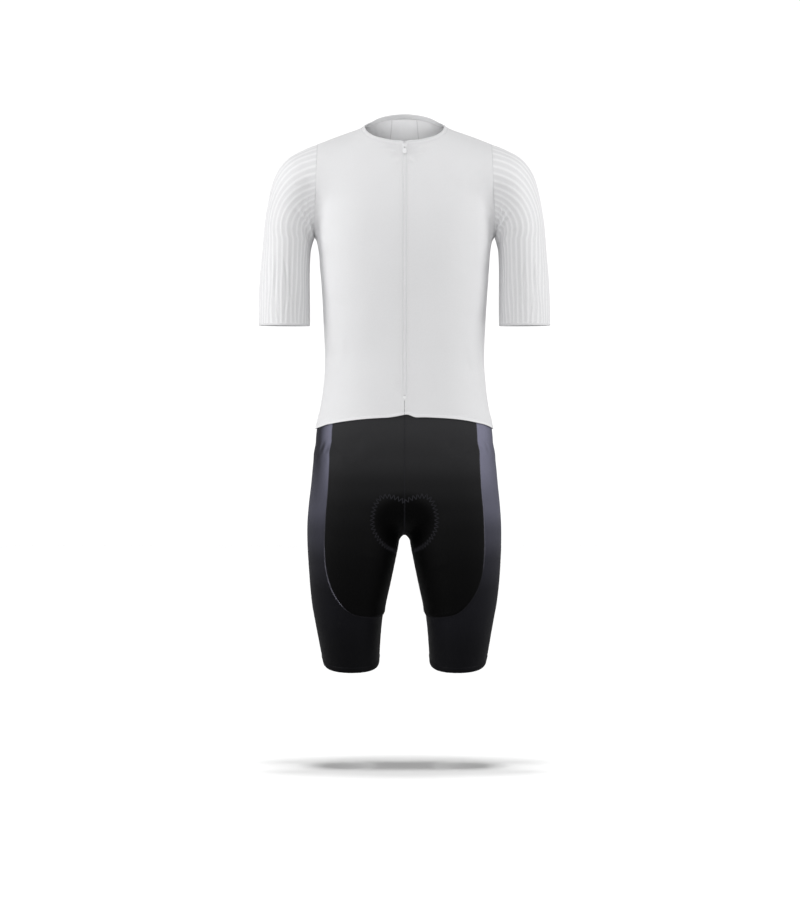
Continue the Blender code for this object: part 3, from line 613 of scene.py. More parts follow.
def curved_cut(points, normals, triangles, steps, controls):
    """Cuts each triangle into steps x steps smaller ones that curve with the normals at its corners.

    Returns the points, the small triangles by large triangle, the edges, the points along each edge, and
    the shares of a large triangle's corners at the corners of its small ones.
    """
    edges, edge_number, _ = edge_table(triangles)
    places = [(i, j, steps - i - j) for i in range(steps + 1) for j in range(steps + 1 - i)]
    inner_places = [place for place in places if min(place) > 0]
    base_edge = len(points)
    base_inner = base_edge + len(edges) * (steps - 1)
    a, b, c = triangles.T
    corner, normal = points[triangles], normals[triangles]

    def toward(start, end):
        """The control point a third of the way along an edge."""
        lift = ((corner[:, end] - corner[:, start]) * normal[:, start]).sum(axis=1, keepdims=True)
        found = (2 * corner[:, start] + corner[:, end] - lift * normal[:, start]) / 3
        for row, pair in enumerate(zip(triangles[:, start].tolist(), triangles[:, end].tolist())):
            if pair in controls:
                found[row] = controls[pair]
        return found

    control = {(p, q): toward(p, q) for p in range(3) for q in range(3) if p != q}
    middle = sum(control.values()) / 6
    middle = middle + (middle - corner.mean(axis=1)) / 2
    fine = np.zeros((base_inner + len(triangles) * len(inner_places), 3))
    numbers = {}

    def along(edge, start, end, step):
        """Numbers of the points that lie step steps from start on an edge."""
        forward = start < end
        return base_edge + edge_number[:, edge] * (steps - 1) + np.where(forward, step, steps - step) - 1

    for place in places:
        i, j, k = place
        if steps in place:
            number = triangles[:, place.index(steps)]
        elif k == 0:
            number = along(0, a, b, j)
        elif i == 0:
            number = along(1, b, c, k)
        elif j == 0:
            number = along(2, c, a, i)
        else:
            number = base_inner + np.arange(len(triangles)) * len(inner_places) + inner_places.index(place)
        u, v, w = (value / steps for value in place)
        fine[number] = (
            corner[:, 0] * u**3
            + corner[:, 1] * v**3
            + corner[:, 2] * w**3
            + 3 * (control[0, 1] * u * u * v + control[1, 0] * u * v * v)
            + 3 * (control[1, 2] * v * v * w + control[2, 1] * v * w * w)
            + 3 * (control[2, 0] * w * w * u + control[0, 2] * w * u * u)
            + 6 * middle * u * v * w
        )
        numbers[place] = number
    corners = []
    for i, j, k in places:
        if k > 0:
            corners.append(((i + 1, j, k - 1), (i, j + 1, k - 1), (i, j, k)))
        if k > 0 and j > 0:
            corners.append(((i + 1, j - 1, k), (i + 1, j, k - 1), (i, j, k)))
    small = np.array([[numbers[place] for place in three] for three in corners]).transpose(2, 0, 1)
    inside = base_edge + np.arange(len(edges))[:, None] * (steps - 1) + np.arange(steps - 1)
    lines = np.concatenate([edges[:, :1], inside, edges[:, 1:]], axis=1)
    return fine, small, edges, lines, np.array(corners) / steps


def relaxed(points, triangles, ties, fixed):
    """Evens the points out along the surface, then takes small ripples off it without shrinking it.

    Ties are the pairs of neighbours along seams and hems: their points stay on those lines, and the fixed
    ones don't slide at all.
    """
    edges, _, uses = edge_table(triangles)
    size = len(points)
    tied, rim, still = (np.zeros(size, bool) for _ in range(3))
    tied[ties.ravel()] = True
    rim[edges[uses == 1].ravel()] = True
    still[fixed] = True
    both = np.concatenate([edges, edges[:, ::-1]])
    ties = np.concatenate([ties, ties[:, ::-1]])

    def pull(pairs):
        start, end = pairs.T
        count = np.maximum(np.bincount(start, minlength=size), 1)[:, None]
        return summed(start, points[end], size) / count - points

    def along_surface(move):
        return move - (move * normals).sum(axis=1, keepdims=True) * normals

    points = points.copy()
    sliding = np.concatenate([both[~tied[both[:, 0]]], ties])
    for turn in range(RELAX_ROUNDS):
        if turn % NORMALS_KEPT == 0:
            normals = point_normals(points, triangles)
        move = along_surface(pull(sliding))
        move[still] = 0
        points += SLIDE_SHARE * move
    for turn in range(2 * SMOOTH_ROUNDS):
        move, sideways = pull(both), pull(ties)
        sideways[still] = 0
        out = move - along_surface(move)
        move[tied] = (out + along_surface(sideways))[tied]
        move[rim] = sideways[rim]
        points += (SHRINK_SHARE if turn % 2 == 0 else SWELL_SHARE) * move
    return points


class Form:
    """One fine surface for panels that share seams, with each panel's triangles and the edges between."""

    def __init__(self, names, steps=CLOTH_STEPS, wall_edge=WALL_EDGE):
        sheets = {name: outer_sheet(name, wall_edge) for name in names}
        points = np.concatenate([sheet[0] for sheet in sheets.values()])
        normals = np.concatenate([sheet[1] for sheet in sheets.values()])
        first = joined(points, JOIN_REACH)
        _, number = np.unique(first, return_inverse=True)
        weight = np.bincount(number)[:, None]
        points, normals = summed(number, points) / weight, unit(summed(number, normals))
        triangles, owner, offset = [], [], 0
        for place, (found, _, faces) in enumerate(sheets.values()):
            triangles.append(number[faces + offset])
            owner += [place] * len(faces)
            offset += len(found)
        triangles, owner = np.concatenate(triangles), np.array(owner)
        edges, edge_number, _ = edge_table(triangles)
        beside = [set() for _ in edges]
        for place, row in zip(owner, edge_number):
            for edge in row:
                beside[edge].add(names[place])
        use = np.bincount(edge_number.ravel(), minlength=len(edges))
        self.open = [place for place in range(len(edges)) if use[place] == 1]
        self.seams = [place for place in range(len(edges)) if len(beside[place]) == 2]
        self.beside, self.edges = beside, edges
        controls, fixed = line_controls(points, normals, edges, self.open + self.seams)
        fine, small, _, self.lines, self.corner_shares = curved_cut(points, normals, triangles, steps, controls)
        self.triangles = small.reshape(-1, 3)
        lines = self.lines[self.open + self.seams]
        ties = np.stack([lines[:, :-1], lines[:, 1:]], -1).reshape(-1, 2)
        self.points = relaxed(fine, self.triangles, ties, fixed)
        self.normals = point_normals(self.points, self.triangles)
        self.panels = {name: small[owner == place].reshape(-1, 3) for place, name in enumerate(names)}
        self.coarse = points
        self.coarse_panels = {name: triangles[owner == place] for place, name in enumerate(names)}

    def chains(self, places):
        """The coarse edges at these places as fine lines, joined end to end as far as they run."""
        left = set(places)
        at = {}
        for place in places:
            for point in self.edges[place]:
                at.setdefault(int(point), []).append(place)
        ends = [point for point, found in at.items() if len(found) != 2]
        found_lines = []

        def walk(point):
            line = [point]
            while True:
                onward = [place for place in at[point] if place in left]
                if not onward or (len(at[point]) != 2 and len(line) > 1):
                    return line
                place = onward[0]
                left.discard(place)
                run = self.lines[place]
                run = run if run[0] == point else run[::-1]
                line += [int(number) for number in run[1:]]
                point = line[-1]

        for point in ends:
            while any(place in left for place in at[point]):
                found_lines.append(walk(point))
        while left:
            found_lines.append(walk(int(self.edges[min(left)][0])))
        return [line for line in found_lines if len(line) > 1]

    def cut_uv(self, name, opens=False):
        """The panel laid flat: the place of each corner of its fine triangles. A tube opens down its inside."""
        used, number = np.unique(self.coarse_panels[name], return_inverse=True)
        points, triangles = self.coarse[used], number.reshape(-1, 3)
        if opens:
            rim = np.unique(outline_edges(triangles))
            rim = rim[points[rim, 2] < TUBE_TOP]
            low = rim[points[rim, 2] < TUBE_LOW]
            high = rim[points[rim, 2] >= TUBE_LOW]
            start, end = (int(part[np.abs(points[part, 0]).argmin()]) for part in (high, low))
            points, triangles = opened(points, triangles, shortest_line(points, triangles, start, end))
        laid = flattened(points, triangles)
        return evened(np.einsum("sck,tkx->tscx", self.corner_shares, laid[triangles]), self.panels[name])


# ---- Flat cuts ----


def evened(corner_uv, faces):
    """Places laid flat that change smoothly across the fine triangles, with the panel's edge kept."""
    flat = corner_uv.reshape(-1, 2)
    keys = np.column_stack([faces.ravel(), np.round(flat / FLAT_STEP)]).astype(np.int64)
    _, first, number = np.unique(keys, axis=0, return_index=True, return_inverse=True)
    triangles = number.reshape(-1, 3)
    places, size = flat[first], len(first)
    edges, _, uses = edge_table(triangles)
    start, end = np.concatenate([edges, edges[:, ::-1]]).T
    count = np.maximum(np.bincount(start, minlength=size), 1)[:, None]
    inside = np.ones(size, bool)
    inside[edges[uses == 1].ravel()] = False
    for _ in range(EVEN_ROUNDS):
        mean = summed(start, places[end], size) / count
        places[inside] += EVEN_SHARE * (mean - places)[inside]
    return places[triangles]


def shortest_line(points, triangles, start, end):
    """The shortest line of edges from one point to another."""
    onward = {}
    for a, b in edge_table(triangles)[0]:
        run = float(np.linalg.norm(points[a] - points[b]))
        onward.setdefault(int(a), []).append((int(b), run))
        onward.setdefault(int(b), []).append((int(a), run))
    best, before, waiting = {start: 0.0}, {}, [(0.0, start)]
    while waiting:
        done, here = heapq.heappop(waiting)
        for point, run in onward[here]:
            if done + run < best.get(point, math.inf):
                best[point], before[point] = done + run, here
                heapq.heappush(waiting, (done + run, point))
    line = [end]
    while line[-1] != start:
        line.append(before[line[-1]])
    return line


def opened(points, triangles, line):
    """The sheet with the points along a line of edges doubled, so that it opens there."""
    line_edges = {frozenset(pair) for pair in zip(line, line[1:])}
    points, new = list(points), triangles.copy()
    for point in line:
        left = {int(face) for face in np.nonzero((triangles == point).any(axis=1))[0]}
        fans = []
        while left:
            fan, waiting = set(), [left.pop()]
            while waiting:
                face = waiting.pop()
                fan.add(face)
                for other in list(left):
                    shared = {int(p) for p in triangles[face]} & {int(p) for p in triangles[other]}
                    if point in shared and len(shared) == 2 and frozenset(shared) not in line_edges:
                        left.discard(other)
                        waiting.append(other)
            fans.append(fan)
        for fan in fans[1:]:
            for face in fan:
                new[face][triangles[face] == point] = len(points)
            points.append(points[point])
    return np.array(points), new


def flattened(points, triangles):
    """The sheet laid flat with its angles kept as well as they can be, at its own area and upright."""
    corner = points[triangles]
    across = unit(corner[:, 1] - corner[:, 0])
    square = unit(np.cross(across, corner[:, 2] - corner[:, 0]))
    flat = np.zeros((len(triangles), 3, 2))
    for k in range(3):
        flat[:, k, 0] = ((corner[:, k] - corner[:, 0]) * across).sum(axis=1)
        flat[:, k, 1] = ((corner[:, k] - corner[:, 0]) * np.cross(square, across)).sum(axis=1)
    size = np.sqrt(np.abs(flat[:, 1, 0] * flat[:, 2, 1]))
    count = len(points)
    matrix = np.zeros((2 * len(triangles), 2 * count))
    row = np.arange(len(triangles))
    for k in range(3):
        side = (flat[:, (k + 2) % 3] - flat[:, (k + 1) % 3]) / size[:, None]
        at = triangles[:, k]
        matrix[row, at] += side[:, 0]
        matrix[row, count + at] -= side[:, 1]
        matrix[len(row) + row, at] += side[:, 1]
        matrix[len(row) + row, count + at] += side[:, 0]
    low, high = int(points[:, 2].argmin()), int(points[:, 2].argmax())
    pins = [low, high, count + low, count + high]
    values = np.array([0.0, 0.0, points[low, 2], points[high, 2]])
    free = np.setdiff1d(np.arange(2 * count), pins)
    found = np.zeros(2 * count)
    found[pins] = values
    found[free] = np.linalg.lstsq(matrix[:, free], -matrix[:, pins] @ values, rcond=None)[0]
    laid = found.reshape(2, count).T
    doubled = turns(laid[triangles]).sum()
    real = np.linalg.norm(turns(corner), axis=1).sum()
    laid *= math.sqrt(real / abs(doubled))
    # The points' own heights say which way is up
    away, height = laid - laid.mean(axis=0), points[:, 2] - points[:, 2].mean()
    lean = math.atan2(*(away * height[:, None]).sum(axis=0))
    turn = np.array([[math.cos(lean), math.sin(lean)], [-math.sin(lean), math.cos(lean)]])
    return away @ turn


def sheet_area(points, triangles):
    return np.linalg.norm(turns(points[triangles]), axis=1).sum() / 2


# ---- Cloth laid on a form ----


class Skin:
    """A form's points moved out by its relief, with the directions out of it there."""

    def __init__(self, points, normals, triangles, lift):
        self.points = points + normals * lift[:, None]
        self.triangles = triangles
        self.normals = point_normals(self.points, triangles)

    @functools.cached_property
    def tree(self):
        return BVHTree.FromPolygons(self.points.tolist(), self.triangles.tolist())

    def at(self, places):
        """The nearest points on the skin to these places, and the directions out there."""
        found = [self.tree.find_nearest(place) for place in places]
        spots = np.array([spot[0] for spot in found])
        corners = self.triangles[[spot[2] for spot in found]]
        away = np.linalg.norm(self.points[corners] - spots[:, None], axis=2)
        share = 1 / np.maximum(away, 1e-3)
        normals = (self.normals[corners] * share[..., None]).sum(axis=1)
        return spots, unit(normals)


def outline_edges(triangles):
    """Edges with a triangle on one side only, each in its triangle's direction."""
    ends = triangles[:, [[0, 1], [1, 2], [2, 0]]].reshape(-1, 2)
    size = int(triangles.max()) + 1
    return ends[~np.isin(ends[:, 0] * size + ends[:, 1], ends[:, 1] * size + ends[:, 0])]


def shell_faces(triangles, count):
    """The triangles of a sheet, of its other side and of the rim between, for points listed side after side."""
    a, b = outline_edges(triangles).T
    return np.concatenate([triangles, triangles[:, ::-1] + count, fours(b, a, a + count, b + count)])


def closed_shell(skin, faces, corner_uv, thickness):
    """Points, triangles and texture places of a closed sheet under the skin's outer face."""
    used, number = np.unique(faces, return_inverse=True)
    number = number.reshape(-1, 3)
    count = len(used)
    outer, normals = skin.points[used], skin.normals[used]
    points = np.concatenate([outer, outer - normals * thickness])
    triangles = shell_faces(number, count)
    point_uv = np.zeros((count, 2))
    point_uv[number.ravel()] = corner_uv.reshape(-1, 2)
    rim_uv = point_uv[triangles[2 * len(number) :] % count]
    return points, triangles, np.concatenate([corner_uv, corner_uv[:, ::-1], rim_uv])


def new_object(name, data):
    """An object of this data, in the scene."""
    made = bpy.data.objects.new(name, data)
    bpy.context.scene.collection.objects.link(made)
    return made


def new_piece(name, points, triangles, look, uv=None, slot=None):
    """A piece on the suit from points in millimetres and triangles, smooth where it bends little."""
    mesh = bpy.data.meshes.new(name)
    mesh.vertices.add(len(points))
    mesh.vertices.foreach_set("co", (points * METRES).astype(np.float32).ravel())
    mesh.loops.add(3 * len(triangles))
    mesh.loops.foreach_set("vertex_index", triangles.astype(np.int32).ravel())
    mesh.polygons.add(len(triangles))
    mesh.polygons.foreach_set("loop_start", np.arange(0, 3 * len(triangles), 3, dtype=np.int32))
    if uv is not None:
        layer = mesh.uv_layers.new(name=CLOTH_UV)
        layer.uv.foreach_set("vector", (uv * METRES).astype(np.float32).ravel())
    mesh.update(calc_edges=True)
    if mesh.validate():
        raise ValueError(f"{name} had faces that Blender can't use")
    mesh.shade_smooth()
    mesh.set_sharp_from_angle(angle=math.radians(SMOOTH_ANGLE))
    mesh.materials.append(look)
    piece = new_object(name, mesh)
    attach(piece, SUIT)
    return piece


def cloth_piece(name, skin, faces, corner_uv, node, slot, finish):
    """A sheet of cloth in place of a packed panel. The size of its flat cut is worked out, and nothing uses it."""
    thickness = suit_sizes().cloth_thickness / METRES
    points, triangles, uv = closed_shell(skin, faces, corner_uv, thickness)
    piece = new_piece(name, points, triangles, finish, uv, slot)
    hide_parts(node)
    spread = np.ptp(corner_uv.reshape(-1, 2), axis=0) / STRETCH * METRES
    area = sheet_area(skin.points, faces) / (STRETCH[0] * STRETCH[1]) * METRES**2
    if area < BAND_SHARE * spread[0] * spread[1]:
        # A narrow band bent into an arc is cut straight, with the edge that its seam turns under
        ends = skin.points[outline_edges(faces)]
        around = np.linalg.norm(ends[:, 1] - ends[:, 0], axis=1).sum() / 2 * METRES / STRETCH[0]
        spread = np.array([around, area / around + BAND_TURNING * METRES])
        area = spread[0] * spread[1]
    return piece


# ---- Relief: folds, creases and seams ----


def runs(points, lines):
    """The places of points along lines of point numbers."""
    return [points[line] for line in lines]


def near(points, lines, reach=NEAR_REACH):
    """How far each point is from the nearest of these lines, and how far along that line it is nearest."""
    spots = np.concatenate(lines)
    along = [run_along(line) for line in lines]
    offsets = np.cumsum([0.0] + [run[-1] + reach for run in along])
    along = np.concatenate([run + offset for run, offset in zip(along, offsets)])
    tree = point_tree(spots)
    found = [tree.find(point) for point in points]
    return np.array([spot[2] for spot in found]), along[[spot[1] for spot in found]]


def undulation(points):
    """Slow, low waves that all worn cloth has."""
    x, y, z = points.T
    waves = np.sin(x / 33 + z / 61 + 1.3) * np.sin(z / 47 - y / 59 + 0.4)
    waves += 0.6 * np.sin(x / 19 - z / 37 + 0.7) * np.sin(z / 71 + y / 23 + 2.1)
    return waves


def crease_relief(points, rows):
    """Soft ridges with a trough on each side, laid along lines drawn on the front or on the back."""
    lift = np.zeros(len(points))
    for order, row in enumerate(rows):
        start = np.array([row["x0"], row["z0"]], float)
        run = np.array([row["x1"], row["z1"]], float) - start
        length = np.linalg.norm(run)
        along, across = run / length, np.array([-run[1], run[0]]) / length
        away = points[:, [0, 2]] - start
        share = away @ along / length
        bow = row["bow"] * 4 * share * (1 - share)
        off = (away @ across - bow) / row["width"]
        taper = np.clip(np.sin(np.pi * np.clip(share, 0, 1)), 0, 1) ** 0.8
        uneven = 1 + 0.3 * np.sin(share * length / 9 + 1.7 * order)
        ridge = (1 - 1.6 * off * off) * np.exp(-off * off)
        here = np.sign(points[:, 1]) == row["side"]
        lift += np.where(here, row["height"] * ridge * taper * uneven, 0)
    return lift


def seam_relief(points, lines):
    """A shallow valley along sewn lines, with uneven puckers on both sides of it."""
    away, run = near(points, lines)
    valley = -SEAM_DEPTH * np.exp(-((away / SEAM_VALLEY) ** 2))
    beat = np.sin(run / 1.9 + 1.3 * np.sin(run / 17)) * (0.55 + 0.45 * np.sin(run / 23 + 0.8))
    pucker = PUCKER_HEIGHT * beat * np.exp(-(((away - PUCKER_OUT) / PUCKER_OUT) ** 2))
    return valley + pucker


# ---- Details laid along lines ----


class Track:
    """A line on a skin, at even steps: places, directions out, and directions along."""

    def __init__(self, skin, line, pitch, closed=False, normals=None):
        """A line with directions out of its own isn't laid on the skin."""
        line = np.asarray(line, float)
        run = run_along(line)
        count = max(int(round(run[-1] / pitch)), 2)
        stops = np.linspace(0, run[-1], count, endpoint=not closed)
        self.pitch = run[-1] / count
        even = np.stack([np.interp(stops, run, values) for values in line.T], 1)
        self.closed = closed
        if normals is None:
            self.points, self.normals = skin.at(even)
        else:
            self.points = even
            self.normals = unit(np.stack([np.interp(stops, run, values) for values in normals.T], 1))
        before, after = np.roll(self.points, 1, axis=0), np.roll(self.points, -1, axis=0)
        if not closed:
            before[0], after[-1] = self.points[0], self.points[-1]
        self.along = unit(after - before)
        self.across = unit(np.cross(self.normals, self.along))


def strip(track, profile, side):
    """A closed strip along a track. Its profile, or one at each point, is rows of distance across and height.

    The side is 1 or -1, and says which way across is counted.
    """
    profile = np.broadcast_to(np.array(profile, float), (len(track.points), *np.shape(profile)[-2:]))
    ring = track.points[:, None] + side * track.across[:, None] * profile[..., :1]
    ring = ring + track.normals[:, None] * profile[..., 1:]
    count, size = ring.shape[:2]
    a = np.arange(count if track.closed else count - 1)[:, None] * size
    b = (a + size) % (count * size)
    here = np.arange(size)
    after = (here + 1) % size
    faces = fours(a + here, b + here, b + after, a + after)
    if not track.closed:
        fan = np.array([(0, k, k + 1) for k in range(1, size - 1)])
        faces = np.concatenate([faces, fan, fan[:, ::-1] + (count - 1) * size])
    return ring.reshape(-1, 3), faces if side > 0 else faces[:, ::-1]


def threads(starts, ends, normals, radius, lift, sides=5):
    """Short rounded threads that arch over the cloth, each with its ends sunk into it."""
    steps = np.array([0.0, 0.3, 0.7, 1.0])
    girth = np.array([0.45, 1.0, 1.0, 0.45]) * radius
    arch = (4 * steps * (1 - steps)) * lift
    run = ends - starts
    along = unit(run)
    out = unit(normals - (normals * along).sum(axis=1, keepdims=True) * along)
    side = np.cross(along, out)
    turn = np.linspace(0, 2 * np.pi, sides, endpoint=False)
    ring = np.cos(turn)[:, None] * out[:, None, None] + np.sin(turn)[:, None] * side[:, None, None]
    middle = starts[:, None] + run[:, None] * steps[:, None] + normals[:, None] * arch[:, None]
    points = middle[:, :, None] + ring * girth[:, None, None]
    rings = len(steps)
    faces = []
    for level in range(rings - 1):
        for k in range(sides):
            a, b = level * sides + k, level * sides + (k + 1) % sides
            faces += [(a, b, b + sides), (a, b + sides, a + sides)]
    last = (rings - 1) * sides
    faces += [(0, k + 1, k) for k in range(1, sides - 1)]
    faces += [(last, last + k, last + k + 1) for k in range(1, sides - 1)]
    step = rings * sides
    faces = np.array(faces)[None] + np.arange(len(starts))[:, None, None] * step
    return points.reshape(-1, 3), faces.reshape(-1, 3)


def merged(parts):
    """Several meshes' points and triangles as one mesh."""
    points, faces, offset = [], [], 0
    for found, triangles in parts:
        points.append(found)
        faces.append(triangles + offset)
        offset += len(found)
    return np.concatenate(points), np.concatenate(faces)


def cross_stitches(track, half, radius, lift=0.25):
    """Flat stitches across a seam, leaning one way and the other."""
    lean = alternating(len(track.points)) * 0.3
    reach = track.across * half + track.along * half * lean
    return threads(track.points - reach, track.points + reach, track.normals, radius, lift)


def run_stitches(track, radius, share=0.72, lift=0.22):
    """A row of stitches along a track, with short gaps."""
    reach = track.along * track.pitch * share / 2
    return threads(track.points - reach, track.points + reach, track.normals, radius, lift)


# ---- Materials ----


def feed(tree, socket, value):
    """Sets a socket to a value, or links it to another node's socket."""
    if isinstance(value, bpy.types.NodeSocket):
        tree.links.new(value, socket)
    else:
        socket.default_value = value


def put(tree, kind, values=None, **settings):
    """A node of this kind. Its sockets take numbers, colours or other nodes' sockets."""
    node = tree.nodes.new(kind)
    for name, value in settings.items():
        setattr(node, name, value)
    for name, value in (values or {}).items():
        feed(tree, node.inputs[name], value)
    return node


def sums(tree, operation, *values):
    """The result of one sum."""
    return put(tree, "ShaderNodeMath", dict(enumerate(values)), operation=operation).outputs[0]


def product(tree, first, second):
    return sums(tree, "MULTIPLY", first, second)


def solid_place(tree):
    """The place in the suit's own space."""
    return put(tree, "ShaderNodeTexCoord").outputs["Object"]


def split(tree, vector):
    """The three numbers of a place or a direction."""
    return put(tree, "ShaderNodeSeparateXYZ", {0: vector}).outputs


def noise_at(tree, place, scale, **values):
    return put(tree, "ShaderNodeTexNoise", {"Vector": place, "Scale": scale, **values}).outputs[0]


def mixed(tree, share, first, second):
    """Two colours mixed by a share."""
    node = put(tree, "ShaderNodeMix", data_type="RGBA")
    for name, value in (("Factor_Float", share), ("A_Color", first), ("B_Color", second)):
        socket = next(s for s in node.inputs if s.identifier == name)
        feed(tree, socket, (*value[:3], 1.0) if isinstance(value, tuple) else value)
    return next(s for s in node.outputs if s.identifier == "Result_Color")


def span(tree, value, low, high, to_low=0.0, to_high=1.0):
    """A value carried smoothly from one span to another, and held past its ends."""
    values = {"Value": value, "From Min": low, "From Max": high, "To Min": to_low, "To Max": to_high}
    return put(tree, "ShaderNodeMapRange", values, interpolation_type="SMOOTHSTEP").outputs["Result"]


def node_group(name, outputs, **numbers):
    """Turns a function that fills a tree into one that places a group of those nodes, built once.

    A place and numbers go into the group, and the function gives the sockets for its outputs.
    """

    def turned(fill):
        def built():
            if name in bpy.data.node_groups:
                return bpy.data.node_groups[name]
            tree = bpy.data.node_groups.new(name, "ShaderNodeTree")
            tree.interface.new_socket("Place", in_out="INPUT", socket_type="NodeSocketVector")
            for label, default in numbers.items():
                socket = tree.interface.new_socket(label, in_out="INPUT", socket_type="NodeSocketFloat")
                socket.default_value = default
            for label in outputs:
                tree.interface.new_socket(label, in_out="OUTPUT", socket_type="NodeSocketFloat")
            start, end = put(tree, "NodeGroupInput"), put(tree, "NodeGroupOutput")
            for label, socket in zip(outputs, fill(tree, start.outputs)):
                feed(tree, end.inputs[label], socket)
            return tree

        def placed(tree, place, **values):
            return put(tree, "ShaderNodeGroup", {"Place": place, **values}, node_tree=built()).outputs

        return placed

    return turned


@node_group("knit loops", ("Height", "Fleck"), Wales=1600.0, Courses=1900.0, Unevenness=260.0)
def knit_loops(tree, given):
    """Rows of knitted loops: V shapes side by side in wales, with slow unevenness of the yarn."""
    place = split(tree, given["Place"])
    inside = sums(tree, "FRACT", product(tree, place[0], given["Wales"]))
    from_middle = sums(tree, "ABSOLUTE", sums(tree, "SUBTRACT", inside, 0.5))
    course = product(tree, place[1], given["Courses"])
    leaning = sums(tree, "ADD", course, product(tree, from_middle, 1.1))
    loop = sums(tree, "ABSOLUTE", sums(tree, "SINE", product(tree, leaning, math.pi)))
    valley = span(tree, from_middle, 0.5, 0.3)
    legs = span(tree, from_middle, 0.0, 0.14)
    noise = noise_at(tree, given["Place"], given["Unevenness"], Detail=3.0, Roughness=0.6)
    stitch = product(tree, product(tree, valley, legs), sums(tree, "ADD", 0.35, loop))
    return sums(tree, "ADD", stitch, product(tree, noise, 0.8)), noise


@node_group("yarn twist", ("Height", "Fleck"), Plies=500.0, Fuzz=900.0)
def yarn_twist(tree, given):
    """Fine slanting plies along a thread or a woven tape."""
    values = {"Vector": given["Place"], "Scale": given["Plies"], "Distortion": 1.2, "Detail": 1.0}
    wave = put(tree, "ShaderNodeTexWave", values, bands_direction="DIAGONAL").outputs["Fac"]
    noise = noise_at(tree, given["Place"], given["Fuzz"], Detail=2.0)
    return sums(tree, "ADD", wave, product(tree, noise, 0.5)), noise


@node_group("soft tone", ("Tone",), Patches=9.0)
def soft_tone(tree, given):
    """Slow light and dark patches, as dyed and handled cloth has."""
    noise = noise_at(tree, given["Place"], given["Patches"], Detail=2.0, Roughness=0.45)
    return (span(tree, noise, 0.3, 0.7),)


@node_group("rib lines", ("Ridge",), Pitch=0.008, Width=0.3)
def rib_lines(tree, given):
    """The ridges of a ribbed cloth, by its place laid flat: 1 on a ridge and 0 between ridges."""
    across = split(tree, given["Place"])[0]
    inside = sums(tree, "FRACT", sums(tree, "DIVIDE", across, given["Pitch"]))
    away = sums(tree, "ABSOLUTE", sums(tree, "SUBTRACT", inside, 0.5))
    return (span(tree, away, given["Width"], 0.0),)


def new_material(name, roughness, **constants):
    """A material, its nodes, and its shader's sockets with these constants set."""
    made = bpy.data.materials.new(name)
    made.use_nodes = True
    tree = made.node_tree
    sockets = tree.nodes["Principled BSDF"].inputs
    for name, value in {"Roughness": roughness, **constants}.items():
        feed(tree, sockets[name.replace("_", " ")], value)
    return made, tree, sockets


def bump(tree, sockets, height, distance):
    values = {"Height": height, "Distance": distance * METRES}
    feed(tree, sockets["Normal"], put(tree, "ShaderNodeBump", values).outputs[0])


def knit_material(name, colour, loop_shade_and_tone, roughness, relief, wales=1600.0, courses=1900.0, **constants):
    """A knitted cloth: its colour darkened between the loops as painted shade, and in slow patches of tone."""
    made, tree, sockets = new_material(name, roughness, **constants)
    flat = put(tree, "ShaderNodeUVMap", uv_map=CLOTH_UV).outputs[0]
    loops = knit_loops(tree, flat, Wales=wales, Courses=courses)
    # Painted shade: the colour darkens where the loops sink
    low = mixed(tree, span(tree, loops["Height"], 0.2, 1.2), loop_shade_and_tone, colour)
    tone = soft_tone(tree, solid_place(tree))["Tone"]
    slow = mixed(tree, product(tree, tone, 0.5), low, mixed(tree, 0.5, low, loop_shade_and_tone))
    feed(tree, sockets["Base Color"], slow)
    rough = span(tree, loops["Fleck"], 0.3, 0.7, roughness - 0.06, roughness + 0.06)
    feed(tree, sockets["Roughness"], rough)
    bump(tree, sockets, loops["Height"], relief)
    return made, tree, sockets, loops, slow


def times(tree, first, second):
    """Two colours multiplied."""
    node = put(tree, "ShaderNodeVectorMath", operation="MULTIPLY")
    for socket, value in zip(node.inputs, (first, second)):
        feed(tree, socket, value)
    return node.outputs[0]


def painted_height_fade(tree, rows, tint, name="share"):
    """A tint that fades down the suit by the shares of a table, as painted light."""
    height = split(tree, solid_place(tree))[2]
    heights, shares = column(rows, "height"), column(rows, name)
    low, high = float(heights.min()) * METRES, float(heights.max()) * METRES
    share = put(tree, "ShaderNodeMapRange", {"Value": height, "From Min": low, "From Max": high}).outputs[0]
    ramp = put(tree, "ShaderNodeValToRGB", {"Fac": share})
    ramp.color_ramp.interpolation = "EASE"
    order = np.argsort(heights)
    while len(ramp.color_ramp.elements) < len(order):
        ramp.color_ramp.elements.new(0.5)
    for element, row in zip(ramp.color_ramp.elements, order):
        element.position = (float(heights[row]) * METRES - low) / (high - low)
        element.color = (*(float(shares[row]) * value for value in tint), 1.0)
    return ramp.outputs["Color"], height


def painted_side_shade(tree, height):
    """A painted shade where a side panel turns away from the front and painted light where it faces it, strongest at
    the top of the shorts, set apart on the wearer's right and left.
    """
    place = put(tree, "ShaderNodeTexCoord")
    facing = sums(tree, "ABSOLUTE", split(tree, place.outputs["Normal"])[1])
    x = split(tree, place.outputs["Object"])[0]
    top, low = (at * METRES for at in PAINTED_SHADE_HEIGHTS)
    shares = []
    for row in PAINTED_SIDE_SHADES:
        high = span(tree, facing, row["turned"], row["faced"], row["top_dark"], row["top_light"])
        deep = span(tree, facing, row["turned"], row["faced"], row["low_dark"], row["low_light"])
        down = span(tree, height, top, low)
        change = product(tree, sums(tree, "SUBTRACT", deep, high), down)
        shares.append(sums(tree, "ADD", high, change))
    wearer_left = sums(tree, "GREATER_THAN", x, 0.0)
    change = product(tree, sums(tree, "SUBTRACT", shares[1], shares[0]), wearer_left)
    return sums(tree, "ADD", shares[0], change)


